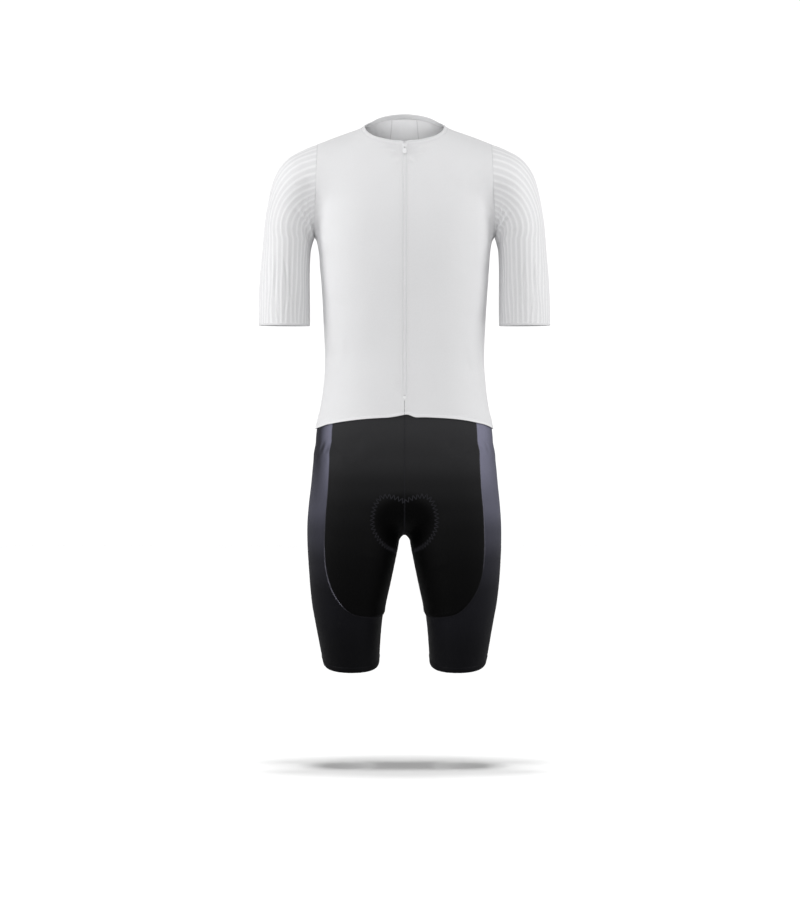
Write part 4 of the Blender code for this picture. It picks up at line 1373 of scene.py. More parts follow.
def painted_pad_shade(tree):
    """A painted shade: a soft dark patch over the front of the pad."""
    x, y, z = split(tree, solid_place(tree))
    across = sums(tree, "DIVIDE", x, PAD_PAINTED_SHADE_SIZE[0] * METRES)
    up = sums(tree, "DIVIDE", sums(tree, "SUBTRACT", z, PAD_PAINTED_SHADE_HEIGHT * METRES), PAD_PAINTED_SHADE_SIZE[1] * METRES)
    away = sums(tree, "ADD", product(tree, across, across), product(tree, up, up))
    inside = product(tree, span(tree, away, *PAD_PAINTED_SHADE_EDGE), span(tree, y, 0.0, -0.02))
    return sums(tree, "SUBTRACT", 1.0, product(tree, inside, 1.0 - PAD_PAINTED_SHADE))


def light_falloff_knit(name, tint, rows, roughness, side, **constants):
    """A dark knit with painted light that falls off down the suit, and the painted shade of the side panels or of the
    pad.
    """
    made, tree, sockets, loops, _ = knit_material(name, tint, tint, roughness, 0.05, **constants)
    colour, height = painted_height_fade(tree, rows, tint)
    colour = times(tree, colour, painted_side_shade(tree, height) if side else painted_pad_shade(tree))
    # Painted shade between the loops, and a little painted light on their tops
    painted_loop_shade = mixed(tree, span(tree, loops["Height"], 0.2, 1.2), (0.78,) * 3, (1.06,) * 3)
    feed(tree, sockets["Base Color"], times(tree, colour, painted_loop_shade))
    return made


def thread_material(name, colour, roughness=0.7, rows=None, **constants):
    """Twisted thread with painted shade where its plies sink, which can fade down the suit by a table as a painted
    highlight.
    """
    made, tree, sockets = new_material(name, roughness, **constants)
    solid = solid_place(tree)
    twist = yarn_twist(tree, solid)
    # Painted shade where the plies sink
    tone = mixed(tree, span(tree, twist["Height"], 0.1, 1.1), scaled(colour, 0.72), colour)
    # Painted highlight: the tint is faded by height, on the wearer's right and left
    if rows is not None:
        right, left = (painted_height_fade(tree, rows, (1.0, 1.0, 1.0), side)[0] for side in ("right", "left"))
        on_left = sums(tree, "GREATER_THAN", split(tree, solid)[0], 0.0)
        tone = times(tree, tone, mixed(tree, on_left, right, left))
    feed(tree, sockets["Base Color"], tone)
    bump(tree, sockets, twist["Height"], 0.05)
    return made


def ribbed_knit(white):
    """The sleeves' white knit, brighter on its ridges: a painted highlight where the ribs catch light."""
    bright = tuple(ridge / ground for ridge, ground in zip(scaled(white, 1.15, WHITEST), white))
    made, tree, sockets, _, colour = knit_material(
        "ribbed white knit", white, scaled(white, 0.88), 0.74, 0.06, 1300.0, 1500.0, **SOFT_WHITE
    )
    flat = put(tree, "ShaderNodeUVMap", uv_map=CLOTH_UV).outputs[0]
    ridge = rib_lines(tree, flat, Pitch=float(suit_sizes().rib_pitch), Width=0.34)["Ridge"]
    tint = mixed(tree, ridge, (1.0, 1.0, 1.0), bright)
    feed(tree, sockets["Base Color"], times(tree, colour, tint))
    return made


def zip_tape(white):
    made, tree, sockets = new_material("woven zip tape", 0.8)
    twist = yarn_twist(tree, solid_place(tree), Plies=380.0, Fuzz=1200.0)
    # Painted shade: the tape darkens where its plies sink
    tone = mixed(tree, span(tree, twist["Height"], 0.1, 1.2), scaled(white, 0.74), white)
    feed(tree, sockets["Base Color"], tone)
    bump(tree, sockets, twist["Height"], 0.08)
    return made


def zip_nylon(white):
    made, tree, sockets = new_material("zip nylon", 0.38, Coat_Weight=0.1, Coat_Roughness=0.3)
    tone = soft_tone(tree, solid_place(tree), Patches=400.0)["Tone"]
    bright = scaled(white, 1.15, WHITEST)
    feed(tree, sockets["Base Color"], mixed(tree, tone, scaled(bright, 0.96), bright))
    feed(tree, sockets["Roughness"], span(tree, tone, 0.0, 1.0, 0.32, 0.44))
    bump(tree, sockets, tone, 0.02)
    return made


def lacquer(white):
    """White paint on the slider and the pull, a little worn along their edges."""
    made, tree, sockets = new_material("white lacquer", 0.28, Coat_Weight=0.4, Coat_Roughness=0.12)
    tone = soft_tone(tree, solid_place(tree), Patches=260.0)["Tone"]
    worn = span(tree, put(tree, "ShaderNodeNewGeometry").outputs["Pointiness"], 0.54, 0.62)
    bright = scaled(white, 1.05, 0.9)
    paint = mixed(tree, product(tree, tone, 0.3), bright, scaled(bright, 0.9))
    paint = mixed(tree, product(tree, worn, 0.4), paint, (0.62, 0.62, 0.63))
    feed(tree, sockets["Base Color"], paint)
    feed(tree, sockets["Roughness"], span(tree, tone, 0.0, 1.0, 0.24, 0.36))
    bump(tree, sockets, tone, 0.03)
    return made


def pad_foam(pad):
    made, tree, sockets = new_material("brushed pad foam", 0.9, Sheen_Weight=0.1, Specular_IOR_Level=0.2)
    solid = solid_place(tree)
    cells = put(tree, "ShaderNodeTexVoronoi", {"Vector": solid, "Scale": 420.0}).outputs["Distance"]
    tone = soft_tone(tree, solid, Patches=24.0)["Tone"]
    # Painted shade in the foam's pits, where its cells sink
    colour = mixed(tree, span(tree, cells, 0.1, 0.7), scaled(pad, 0.6), pad)
    colour = mixed(tree, product(tree, tone, 0.3), colour, scaled(pad, 1.3))
    feed(tree, sockets["Base Color"], colour)
    bump(tree, sockets, cells, 0.15)
    return made


@functools.cache
def look(name):
    """The materials of the suit by name."""
    tints = bpy.context.scene.skinsuit_colours
    white, black, side = (tuple(value) for value in (tints.jersey, tints.shorts, tints.side_panel))
    if name == "jersey":
        return knit_material("white knit", white, scaled(white, 0.9), 0.8, 0.05, **SOFT_WHITE)[0]
    if name == "edge":
        # The jersey's hem edge is painted brighter than the jersey: a painted highlight where the turned edge catches
        # light
        bright = scaled(white, 1.14, WHITEST)
        return knit_material("bright elastic edge", bright, white, 0.7, 0.04, **SOFT_WHITE)[0]
    if name == "sleeve":
        return ribbed_knit(white)
    if name == "shorts":
        return light_falloff_knit("black knit", black, BLACK_PAINTED_LIGHT, 0.62, False, **SOFT_BLACK)
    if name == "side":
        return light_falloff_knit("navy grey knit", side, SIDE_PAINTED_LIGHT, 0.55, True, **SOFT_SIDE)
    if name == "seam tape":
        return thread_material(name, scaled(white, 0.9), **SOFT_WHITE)
    if name == "white thread":
        return thread_material(name, scaled(white, 1.03), 0.6)
    if name == "black thread":
        return thread_material(name, tuple(tints.black_thread), 0.55, Specular_IOR_Level=0.1)
    if name == "side thread":
        return thread_material(name, tuple(tints.side_thread), 0.5, SIDE_THREAD_PAINTED_HIGHLIGHT, Specular_IOR_Level=0.1)
    if name == "zip tape":
        return zip_tape(white)
    if name == "zip nylon":
        return zip_nylon(white)
    if name == "lacquer":
        return lacquer(white)
    if name == "foam":
        return pad_foam(tuple(tints.seat_pad))
    raise ValueError(f"there is no material named {name}")


# ---- The suit's forms and skins ----


@functools.cache
def body_form():
    return Form(BODY_PANELS)


@functools.cache
def shorts_form():
    return Form(SHORTS_PANELS)


@functools.cache
def pad_form():
    return Form((PAD,), PAD_STEPS, PAD_WALL_EDGE)


@functools.cache
def sleeve_form(side):
    return Form(("sleeve_" + side,))


def stretches(points, line, keep):
    """The parts of a closed line of points whose places pass the test, each as a run of point numbers."""
    ring = list(line[:-1] if line[0] == line[-1] else line)
    passed = [bool(keep(points[number])) for number in ring]
    if all(passed):
        return [ring + ring[:1]]
    start = passed.index(False)
    ring, passed = ring[start:] + ring[:start], passed[start:] + passed[:start]
    found, run = [], []
    for number, good in zip(ring, passed):
        if good:
            run.append(number)
        elif run:
            found.append(run)
            run = []
    if run:
        found.append(run)
    return [run for run in found if len(run) > 3]


@functools.cache
def jersey_lines():
    """The jersey's edges and seams by name, each as runs of point numbers."""
    form = body_form()
    points = form.points
    loops = form.chains(form.open)
    outer = max(loops, key=len)
    return {
        "hem": stretches(points, outer, lambda p: p[2] < HEM_TOP and (abs(p[0]) > CORNER_REACH or p[2] < HEM_CORNER)),
        "neck": stretches(points, outer, lambda p: p[2] > NECK_LOW and (abs(p[0]) > ZIP_REACH or p[1] > 0)),
        "zip": stretches(
            points, outer, lambda p: abs(p[0]) < ZIP_REACH and ZIP_LOW < p[2] < ZIP_HIGH and p[1] < 0
        ),
        "armholes": [loop for loop in loops if loop is not outer],
        "seams": form.chains([place for place in form.seams if "neck_band" not in form.beside[place]]),
        "band": form.chains([place for place in form.seams if "neck_band" in form.beside[place]]),
    }


def drawn_in(points):
    """The jersey's points with its fronts drawn in to the zip and its hem as it rides when worn."""
    points = points.copy()
    x, z = np.abs(points[:, 0]), points[:, 2]
    heights = column(GAP_HEIGHTS, "height")
    now, then = (np.interp(z, heights, column(GAP_HEIGHTS, name)) for name in ("now", "then"))
    front = points[:, 1] < 0
    share = (1 - smooth_step(0, GAP_REACH, x - now)) * front
    points[:, 0] -= np.sign(points[:, 0]) * (now - then) * share
    ride = np.interp(points[:, 0], column(HEM_RIDE, "x"), column(HEM_RIDE, "rise"))
    ride *= smooth_step(0, HEM_RIDE_ROUND, -points[:, 1]) * (1 - smooth_step(HEM_CORNER, HEM_CORNER + HEM_RIDE_UP, z))
    points[:, 2] += ride
    return points


@functools.cache
def jersey_skin(crease_scale, hem_push):
    form, lines = body_form(), jersey_lines()
    points = drawn_in(form.points)
    lift = WAVE_HEIGHT * undulation(points) + crease_scale * crease_relief(points, JERSEY_CREASES)
    lift *= smooth_step(*ZIP_FADE, np.abs(points[:, 0]) + np.where(points[:, 1] > 0, 99, 0))
    armhole = near(points, runs(points, lines["armholes"]))[0]
    lift *= smooth_step(0, ARMHOLE_FADE, armhole)
    lift += seam_relief(points, runs(points, lines["seams"] + lines["armholes"]))
    lift += BAND_SEAM * seam_relief(points, runs(points, lines["band"]))
    hem = near(points, runs(points, lines["hem"]))[0]
    lift += hem_push * (1 - smooth_step(0, HEM_FADE, hem))
    covered = smooth_step(-COVER_TOP - COVER_FADE, -COVER_TOP, -points[:, 2])
    floor = COVER_FLOOR * covered - COVER_FREE * (1 - covered)
    lift = np.where(covered > 0, np.maximum(lift, floor), lift)
    return Skin(points, form.normals, form.triangles, lift)


@functools.cache
def shorts_skin(crease_scale):
    form = shorts_form()
    points = form.points
    lift = WAVE_HEIGHT * undulation(points) + crease_scale * crease_relief(points, SHORTS_CREASES)
    lift += seam_relief(points, runs(points, form.chains(form.seams)))
    lift += cuff_step(form, points)
    ring = near(points, [spline(path) for path in pad_ring()])[0]
    lift -= PAD_SEAM_DEPTH * np.exp(-((ring / PAD_SEAM_VALLEY) ** 2))
    under = smooth_step(UNDER_TOP, UNDER_TOP + UNDER_FADE, points[:, 2])
    lift = np.minimum(lift, UNDER_CEILING * under + UNDER_FREE * (1 - under))
    return Skin(points, form.normals, form.triangles, lift)


def on_sides(form, place):
    """Whether an edge of the shorts' form belongs to a side panel."""
    return any(name.startswith("side") for name in form.beside[place])


def cuff_step(form, points):
    """The panels' low edge stands a little proud of the leg's cuff below it."""
    places = [place for place in form.seams if on_sides(form, place)]
    away = near(points, runs(points, form.chains(places)))[0]
    over = np.zeros(len(points), bool)
    for name, faces in form.panels.items():
        if not name.startswith("side"):
            over[faces.ravel()] = True
    proud = CUFF_PROUD * away / STEP_REACH * np.exp(1 - away / STEP_REACH)
    sunk = -CUFF_SUNK * (1 - np.exp(-((away / CUFF_EDGE) ** 2))) * np.exp(-away / CUFF_REACH)
    return np.where(over, proud, sunk) * smooth_step(*STEP_HEIGHTS, -points[:, 2])


def pad_ring():
    """The front of the line that holds the pad, as two halves on the smooth form."""
    form = shorts_form()
    tree = BVHTree.FromPolygons(form.points.tolist(), form.triangles.tolist())
    halves = []
    for sign in SIDES.values():
        half = []
        for row in PAD_RING:
            hit = tree.ray_cast(Vector((sign * max(row["x"], 0.3), -200.0, row["z"])), Vector((0.0, 1.0, 0.0)))[0]
            if hit is None:
                raise ValueError("the pad's line leaves the front of the shorts")
            half.append(tuple(hit))
        halves.append(np.array(half))
    return halves


def spline(path, steps=8):
    """A smooth line through the points of a path."""
    path = np.asarray(path, float)
    ends = np.concatenate([[2 * path[0] - path[1]], path, [2 * path[-1] - path[-2]]])
    t = np.linspace(0, 1, steps, endpoint=False)[:, None]
    found = []
    for a, b, c, d in zip(ends, ends[1:], ends[2:], ends[3:]):
        found.append(0.5 * (2 * b + (c - a) * t + (2 * a - 5 * b + 4 * c - d) * t**2 + (3 * b - 3 * c + d - a) * t**3))
    return np.concatenate(found + [path[-1:]])


# ---- The ribbed sleeves ----


def sleeve_middle(run):
    """The middle of the sleeve's section this far along it, and the direction to its outside."""
    turn = np.clip(-run, 0, None) / SLEEVE_TURN_RUN
    level = np.clip(run, 0, None)
    out = np.stack([np.cos(turn), 0 * turn, np.sin(turn)], -1)
    half = SLEEVE_MIDDLE[0] + (SLEEVE_MIDDLE[1] - SLEEVE_MIDDLE[0]) * turn / (np.pi / 2)
    half = half + SLEEVE_OUT_DRIFT * level
    deep = SLEEVE_DEEP[0] + (SLEEVE_DEEP[1] - SLEEVE_DEEP[0]) * smooth_step(-150, 150, run)
    base = np.stack([SLEEVE_TURN[0] + 0 * run, deep, SLEEVE_TURN[1] - level], -1)
    return base + half[..., None] * out, out


def sleeve_places(points):
    """How far along the sleeve points are, and their angle round it from its outside."""
    away = points[:, [0, 2]] - SLEEVE_TURN
    turn = np.where(away[:, 1] > 0, np.arctan2(away[:, 1], np.maximum(away[:, 0], 1e-6)), 0)
    run = np.where(away[:, 1] > 0, -turn * SLEEVE_TURN_RUN, -away[:, 1])
    middle, out = sleeve_middle(run)
    return run, np.arctan2(points[:, 1] - middle[:, 1], ((points - middle) * out).sum(axis=1))


def rib_angles(columns):
    """How far along the sleeve each row is, as a share, and the angles round it of the rows' points."""
    share = np.linspace(0, 1, SLEEVE_ROWS)[:, None]
    angle = (np.arange(columns) / columns * 2 - 1)[None] * np.pi
    wander = np.sin(share * 15 + 2.2 * np.sin(3 * angle)) * (0.5 + 0.5 * np.sin(5 * angle + 0.7))
    return share, angle + math.radians(RIB_WANDER) * smooth_step(*WANDER_FROM, share) * wander


def edge_at(loop, angles):
    """The points of a sleeve's edge at these angles, each with how far along the sleeve it is."""
    run, turn = sleeve_places(loop)
    order = np.argsort(turn)
    turn, values = turn[order], np.column_stack([loop, run])[order]
    return np.stack([np.interp(angles, turn, value, period=2 * np.pi) for value in values.T], -1)


def sleeve_grid(tree, armhole, hem, share, angle):
    """The sleeve's points by row and column, and the directions to them from its middle."""
    first, last = edge_at(armhole, angle[0]), edge_at(hem, angle[-1])
    run = first[:, 3] + (last[:, 3] - first[:, 3]) * share
    middle, out = sleeve_middle(run)
    toward = np.cos(angle)[..., None] * out + np.sin(angle)[..., None] * np.array([0.0, 1.0, 0.0])
    grid = np.empty(toward.shape)
    for place in np.ndindex(run.shape):
        start, ray = Vector(middle[place]), Vector(toward[place])
        hit = tree.ray_cast(start, ray)[0] or tree.find_nearest(start + ray * SLEEVE_MIDDLE[0])[0]
        grid[place] = hit
    grid[0], grid[-1] = first[:, :3], last[:, :3]
    return grid, toward


def rib_lift(share, columns):
    """How far the ribs stand up by row and column, as a share of their height."""
    rib, local = np.divmod(np.arange(columns), RIB_COLUMNS)
    local = (local - RIB_COLUMNS / 2) / RIB_COLUMNS
    ridge = np.exp(-((local / RIB_WIDTH) ** 2)) - RIB_GROUND
    uneven = 0.72 + 0.28 * np.sin(2.4 * rib + 1.1 * np.sin(0.7 * rib))
    along = 0.8 + 0.2 * np.sin(share * 11 + 1.9 * rib)
    edge = smooth_step(0.0, 0.03, share) * (1 - 0.5 * smooth_step(0.97, 1.0, share))
    return ridge * uneven * along * edge


def sleeve_cut(grid, width):
    """A sleeve's places laid flat, around the arm and down it, opened at the back of the inside."""
    columns = grid.shape[1]
    steps = np.linalg.norm(np.diff(grid, axis=0), axis=2)
    down = -np.concatenate([np.zeros((1, columns)), np.cumsum(steps, axis=0)])
    down = np.concatenate([down, down[:, :1]], axis=1)
    across = np.linspace(0, width, columns + 1)
    return np.stack([np.broadcast_to(across, down.shape), down], -1).reshape(-1, 2)


@functools.cache
def sleeve_skin(side, rib_pitch, rib_height, crease_scale):
    """A sleeve as rows from armhole to hem whose columns follow the ribs, with its places laid flat."""
    form, flip = sleeve_form(side), np.array([SIDES[side], 1.0, 1.0])
    points = form.points * flip
    tree = BVHTree.FromPolygons(points.tolist(), form.triangles.tolist())
    armhole, hem = sorted((points[loop[:-1]] for loop in form.chains(form.open)), key=lambda p: -p[:, 2].mean())
    hem_round = np.linalg.norm(hem - np.roll(hem, 1, axis=0), axis=1).sum()
    ribs = int(round(hem_round / rib_pitch))
    columns = ribs * RIB_COLUMNS
    share, angle = rib_angles(columns)
    grid, toward = sleeve_grid(tree, armhole, hem, share, angle)
    row, here = np.arange(SLEEVE_ROWS - 1)[:, None], np.arange(columns)
    a, b = row * columns + here, row * columns + (here + 1) % columns
    triangles = fours(a, b, b + columns, a + columns)
    flat = grid.reshape(-1, 3)
    if (point_normals(flat, triangles) * toward.reshape(-1, 3)).sum() < 0:
        triangles = triangles[:, ::-1]
    flat = relaxed_rows(flat, grid.shape)
    flat, normals = flat * flip, point_normals(flat, triangles) * flip
    if SIDES[side] < 0:
        triangles = triangles[:, ::-1]
    own = WAVE_HEIGHT * undulation(flat) + crease_scale * crease_relief(flat, SLEEVE_CREASES)
    lift = rib_height * rib_lift(share, columns)
    lift = lift + own.reshape(lift.shape) * smooth_step(0.0, 0.06, share)
    lift = lift - SEAM_DEPTH * np.exp(-((share / 0.015) ** 2))
    skin = Skin(flat, normals, triangles, lift.ravel())
    skin.rows, skin.columns = SLEEVE_ROWS, columns
    # The flat places have one column more, so they have triangles of their own
    wide = columns + 1
    a = row * wide + here
    corners = fours(a, a + 1, a + 1 + wide, a + wide)
    if triangles[0, 0] != 0:
        corners = corners[:, ::-1]
    return skin, sleeve_cut(flat.reshape(grid.shape), ribs * rib_pitch)[corners]


def relaxed_rows(points, shape):
    """Takes small ripples off a grid of points that closes around, and keeps its first and last rows."""
    grid = points.reshape(shape).copy()
    for _ in range(3):
        middle = (np.roll(grid, 1, axis=1) + np.roll(grid, -1, axis=1)) / 4
        middle[1:-1] += (grid[:-2] + grid[2:]) / 4
        grid[1:-1] = 0.5 * grid[1:-1] + 0.5 * middle[1:-1]
    return grid.reshape(-1, 3)


# ---- Properties ----


def length(name, description, default):
    return FloatProperty(
        name=name, description=description, default=default * METRES, min=0.0, unit="LENGTH", precision=5
    )


def tint(name, description, default):
    return FloatVectorProperty(
        name=name, description=description, default=default, subtype="COLOR", size=3, min=0.0, max=1.0
    )


class SkinsuitSizes(bpy.types.PropertyGroup):
    """Sizes of the cloth and of what is sewn to it"""

    cloth_thickness: length("Cloth", "Thickness of the knit", 1.0)
    rib_pitch: length("Rib Pitch", "Distance between the sleeve's ribs, round its hem", 8.0)
    rib_height: length("Rib Height", "How far the sleeve's ribs stand up", 0.95)
    hem_width: length("Hem Width", "Width of the turned hem of the jersey", 4.0)
    leg_hem_width: length("Leg Hem Width", "Width of the turned hem of the legs", 9.0)
    hem_push: length("Hem Clearance", "How far the jersey's hem stands off the shorts", 1.0)
    stitch_pitch: length("Stitch Pitch", "Distance between the stitches of a seam", 2.0)
    tooth_pitch: length("Tooth Pitch", "Distance between the zip's teeth on one side", 2.6)
    pad_pitch: length("Zigzag Pitch", "Length of one zigzag of the pad's seam", 7.0)
    creases: FloatProperty(
        name="Creases", description="Strength of the creases", default=1.0, min=0.0, max=2.0, subtype="FACTOR"
    )


class SkinsuitColours(bpy.types.PropertyGroup):
    """Colours of the suit and of the floor"""

    jersey: tint("Jersey", "The jersey, its sleeves and its zip", (0.80, 0.80, 0.81))
    shorts: tint("Shorts", "The front and the back of the shorts, at their top", (0.034, 0.034, 0.036))
    side_panel: tint("Side Panel", "The side panels of the shorts, at their top", (0.184, 0.184, 0.248))
    black_thread: tint("Black Thread", "The stitches of the black panels", (0.03, 0.03, 0.036))
    # The side thread's pale tint is a painted highlight at full strength, faded by height and side by its table
    side_thread: tint("Side Thread", "The stitches round the side panels", (0.34, 0.335, 0.41))
    seat_pad: tint("Seat Pad", "The pad inside the shorts", (0.02, 0.02, 0.023))
    floor: tint("Floor", "The floor of the stage", (0.44, 0.44, 0.44))


def suit_sizes():
    return bpy.context.scene.skinsuit_sizes


def in_mm(name):
    return getattr(suit_sizes(), name) / METRES


def jersey_now():
    return jersey_skin(suit_sizes().creases, in_mm("hem_push"))


def shorts_now():
    return shorts_skin(suit_sizes().creases)


def sleeve_now(side):
    return sleeve_skin(side, in_mm("rib_pitch"), in_mm("rib_height"), suit_sizes().creases)


# ---- Operators ----


class SKINSUIT_OT_jersey(bpy.types.Operator):
    """Build the jersey's front, back and neck panels"""

    bl_idname = "skinsuit.jersey"
    bl_label = "Jersey Panels"

    def execute(self, context):
        form, skin = body_form(), jersey_now()
        for name in BODY_PANELS:
            uv = form.cut_uv(name)
            cloth_piece("jersey_" + name, skin, form.panels[name], uv, name, "jersey_knit", look("jersey"))
        return {"FINISHED"}


class SKINSUIT_OT_sleeves(bpy.types.Operator):
    """Build the two ribbed sleeves"""

    bl_idname = "skinsuit.sleeves"
    bl_label = "Sleeves"

    def execute(self, context):
        for side in SIDES:
            skin, uv = sleeve_now(side)
            node = "sleeve_" + side
            cloth_piece("ribbed_" + node, skin, skin.triangles, uv, node, "jersey_knit", look("sleeve"))
        return {"FINISHED"}


class SKINSUIT_OT_shorts(bpy.types.Operator):
    """Build the front, back and side panels of the shorts"""

    bl_idname = "skinsuit.shorts"
    bl_label = "Shorts Panels"

    def execute(self, context):
        form, skin = shorts_form(), shorts_now()
        for name in SHORTS_PANELS:
            on_side = name.startswith("side")
            uv = form.cut_uv(name, on_side)
            slot, finish = ("side_knit", "side") if on_side else ("shorts_knit", "shorts")
            cloth_piece("panel_" + name, skin, form.panels[name], uv, name, slot, look(finish))
        return {"FINISHED"}


class SKINSUIT_OT_seat_pad(bpy.types.Operator):
    """Build the seat pad inside the shorts"""

    bl_idname = "skinsuit.seat_pad"
    bl_label = "Seat Pad"

    def execute(self, context):
        form = pad_form()
        points, normals, triangles = form.points, form.normals, form.triangles
        edge = near(points, runs(points, form.chains(form.open)))[0]
        depth = PAD_EDGE + (PAD_DEPTH - PAD_EDGE) * smooth_step(0, PAD_TAPER, edge)
        depth -= PAD_GROOVE * np.exp(-(((edge - PAD_GROOVE_IN) / PAD_GROOVE_HALF) ** 2))
        middle = np.abs(points[:, 0])
        for away, half in ((middle, PAD_MIDDLE_HALF), (middle - PAD_CHANNEL, PAD_GROOVE_HALF)):
            depth -= PAD_GROOVE * np.exp(-((away / half) ** 2)) * smooth_step(*PAD_GROOVE_FADE, edge)
        outer = points - normals * PAD_INSET
        inner = outer - normals * depth[:, None]
        faces = shell_faces(triangles, len(points))
        pad = new_piece("quilted_pad", np.concatenate([outer, inner]), faces, look("foam"), slot="pad_foam")
        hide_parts(PAD)
        return {"FINISHED"}


def sew(name, parts, finish, slot):
    """One piece of several parts."""
    return new_piece(name, *merged(parts), look(finish), slot=slot)


def inner_tape(thickness):
    """The profile of a narrow tape on the cloth's inner face."""
    under = -thickness
    return [(-TAPE_HALF, under - 0.05), (-TAPE_HALF, under - 0.4), (TAPE_HALF, under - 0.4), (TAPE_HALF, under - 0.05)]


class SKINSUIT_OT_seams(bpy.types.Operator):
    """Sew the seams between the panels"""

    bl_idname = "skinsuit.seams"
    bl_label = "Seams"

    def execute(self, context):
        pitch = in_mm("stitch_pitch")
        skin, lines = jersey_now(), jersey_lines()
        sewn = []
        for kind, half, radius, closed in (
            ("seams", SEAM_HALF, THREAD, False),
            ("armholes", SEAM_HALF, THREAD, True),
            ("band", BAND_HALF, BAND_THREAD, False),
        ):
            for line in lines[kind]:
                sewn.append(cross_stitches(Track(skin, skin.points[line], pitch, closed), half, radius))
        sew("jersey_seam_thread", sewn, "white thread", "jersey_knit")
        tapes = []
        for line in lines["seams"]:
            run = skin.points[line]
            if abs(run[:, 0]).max() > INNER_TAPE_REACH:
                continue
            tapes.append(strip(Track(skin, run, FOLD_STEP), inner_tape(in_mm("cloth_thickness")), 1.0))
        sew("inner_seam_tapes", tapes, "seam tape", "jersey_knit")
        form, skin = shorts_form(), shorts_now()
        sides, others = ([p for p in form.seams if on_sides(form, p) == wanted] for wanted in (True, False))
        for name, places, finish, slot in (
            ("side_seam_thread", sides, "side thread", "side_knit"),
            ("shorts_seam_thread", others, "black thread", "shorts_knit"),
        ):
            sewn = []
            for line in form.chains(places):
                sewn.append(cross_stitches(Track(skin, skin.points[line], pitch), SEAM_HALF, THREAD, SEAM_ARCH))
            sew(name, sewn, finish, slot)
        return {"FINISHED"}


def hem_profile(width, rise, thickness, inside):
    """A turned edge round the cloth's own edge: distance into the cloth, and height above its outer face."""
    under = -thickness - rise
    return [
        (-0.55, -0.15),
        (-0.2, 0.6 * rise),
        (0.6, rise),
        (width - 0.6, rise),
        (width, 0.15 * rise),
        (width + 0.1, -0.3),
        (inside, -thickness + 0.1),
        (inside, under + 0.1),
        (0.6, under),
        (-0.3, under + 0.2),
        (-0.6, -0.5 * thickness),
    ]


def turned_edge(skin, line, toward, wide, rise, closed=False, behind=None):
    """The turned edge along a line: its track, the side it lies on, its strip and its row of stitches.

    With a width behind, its inner side grows to that width from the front of the neck to the back.
    """
    thickness = in_mm("cloth_thickness")
    track = Track(skin, line, FOLD_STEP, closed)
    side = 1.0 if (track.across * toward).sum() > 0 else -1.0
    profile = np.array(hem_profile(wide, rise, thickness, wide))
    if behind:
        share = smooth_step(*NECK_WIDENS, track.points[:, 1])[:, None, None]
        profile = profile + share * (np.array(hem_profile(wide, rise, thickness, behind)) - profile)
    row = track.points + side * track.across * (wide - ROW_IN) + track.normals * rise
    out = track.normals
    if closed:
        row, out = (np.concatenate([ring, ring[:1]]) for ring in (row, out))
    stitches = Track(None, row, in_mm("stitch_pitch") * 1.3, closed, out)
    return track, side, strip(track, profile, side), run_stitches(stitches, ROW_THREAD)


class SKINSUIT_OT_hems(bpy.types.Operator):
    """Turn and stitch the hems of the jersey, its sleeves and the legs, and the neck edge"""

    bl_idname = "skinsuit.hems"
    bl_label = "Hems"

    def execute(self, context):
        skin, lines = jersey_now(), jersey_lines()
        hems = []
        for line in lines["hem"]:
            hems.append(turned_edge(skin, skin.points[line], (0, 0, 1), in_mm("hem_width"), HEM_RISE))
        plain = []
        for line in lines["neck"]:
            run = skin.points[line]
            plain.append(turned_edge(skin, run, (0, 0, -1), NECK_FOLD, PLAIN_RISE, behind=NECK_FOLD_INSIDE))
            track, side = plain[-1][:2]
            # A row of grey stitches under the inner edge of the neck fold at the back: a real seam row that also
            # stands in for the shade beneath that edge, as painted shade
            behind = track.points[:, 1] > NECK_WIDENS[1]
            under = (-in_mm("cloth_thickness") - PLAIN_RISE) * track.normals
            row = (track.points + side * track.across * NECK_FOLD_INSIDE + under)[behind]
            stitches = Track(None, row, in_mm("stitch_pitch"), False, -track.normals[behind])
            sewn = run_stitches(stitches, NECK_LINE_THREAD, 1.0)
            new_piece("neck_inner_line", *sewn, look("seam tape"), slot="jersey_knit")
        for side in SIDES:
            sleeve, _ = sleeve_now(side)
            last = np.arange(sleeve.columns) + (sleeve.rows - 1) * sleeve.columns
            ring = sleeve.points[np.append(last, last[0])]
            plain.append(turned_edge(sleeve, ring, (0, 0, 1), SLEEVE_FOLD, PLAIN_RISE, True))
        sew("jersey_hem", [edge[2] for edge in hems], "edge", "jersey_knit")
        sew("jersey_edges", [edge[2] for edge in plain], "jersey", "jersey_knit")
        sew("jersey_hem_thread", [edge[3] for edge in hems + plain], "white thread", "jersey_knit")

        form, skin = shorts_form(), shorts_now()
        loops = [loop for loop in form.chains(form.open) if skin.points[loop][:, 2].max() < LEG_HEM_TOP]
        width = in_mm("leg_hem_width")
        legs = [turned_edge(skin, skin.points[loop], (0, 0, 1), width, HEM_RISE, True) for loop in loops]
        sew("leg_hems", [edge[2] for edge in legs], "side", "side_knit")
        sew("leg_hem_thread", [edge[3] for edge in legs], "side thread", "side_knit")
        return {"FINISHED"}


class SKINSUIT_OT_pad_stitching(bpy.types.Operator):
    """Sew the zigzag line that holds the seat pad"""

    bl_idname = "skinsuit.pad_stitching"
    bl_label = "Pad Stitching"

    def execute(self, context):
        skin, pitch = shorts_now(), in_mm("pad_pitch")
        sewn = []
        for path in pad_ring():
            track = Track(skin, spline(path), pitch / 2)
            lean = alternating(len(track.points))
            reach = lean * track.across * ZIGZAG_HALF + track.along * track.pitch * 0.46
            starts, start_normals = skin.at(track.points - reach)
            ends, _ = skin.at(track.points + reach)
            sewn.append(threads(starts, ends, start_normals, ZIGZAG_THREAD, 0.35))
        sew("pad_zigzag", sewn, "black thread", "shorts_knit")
        return {"FINISHED"}


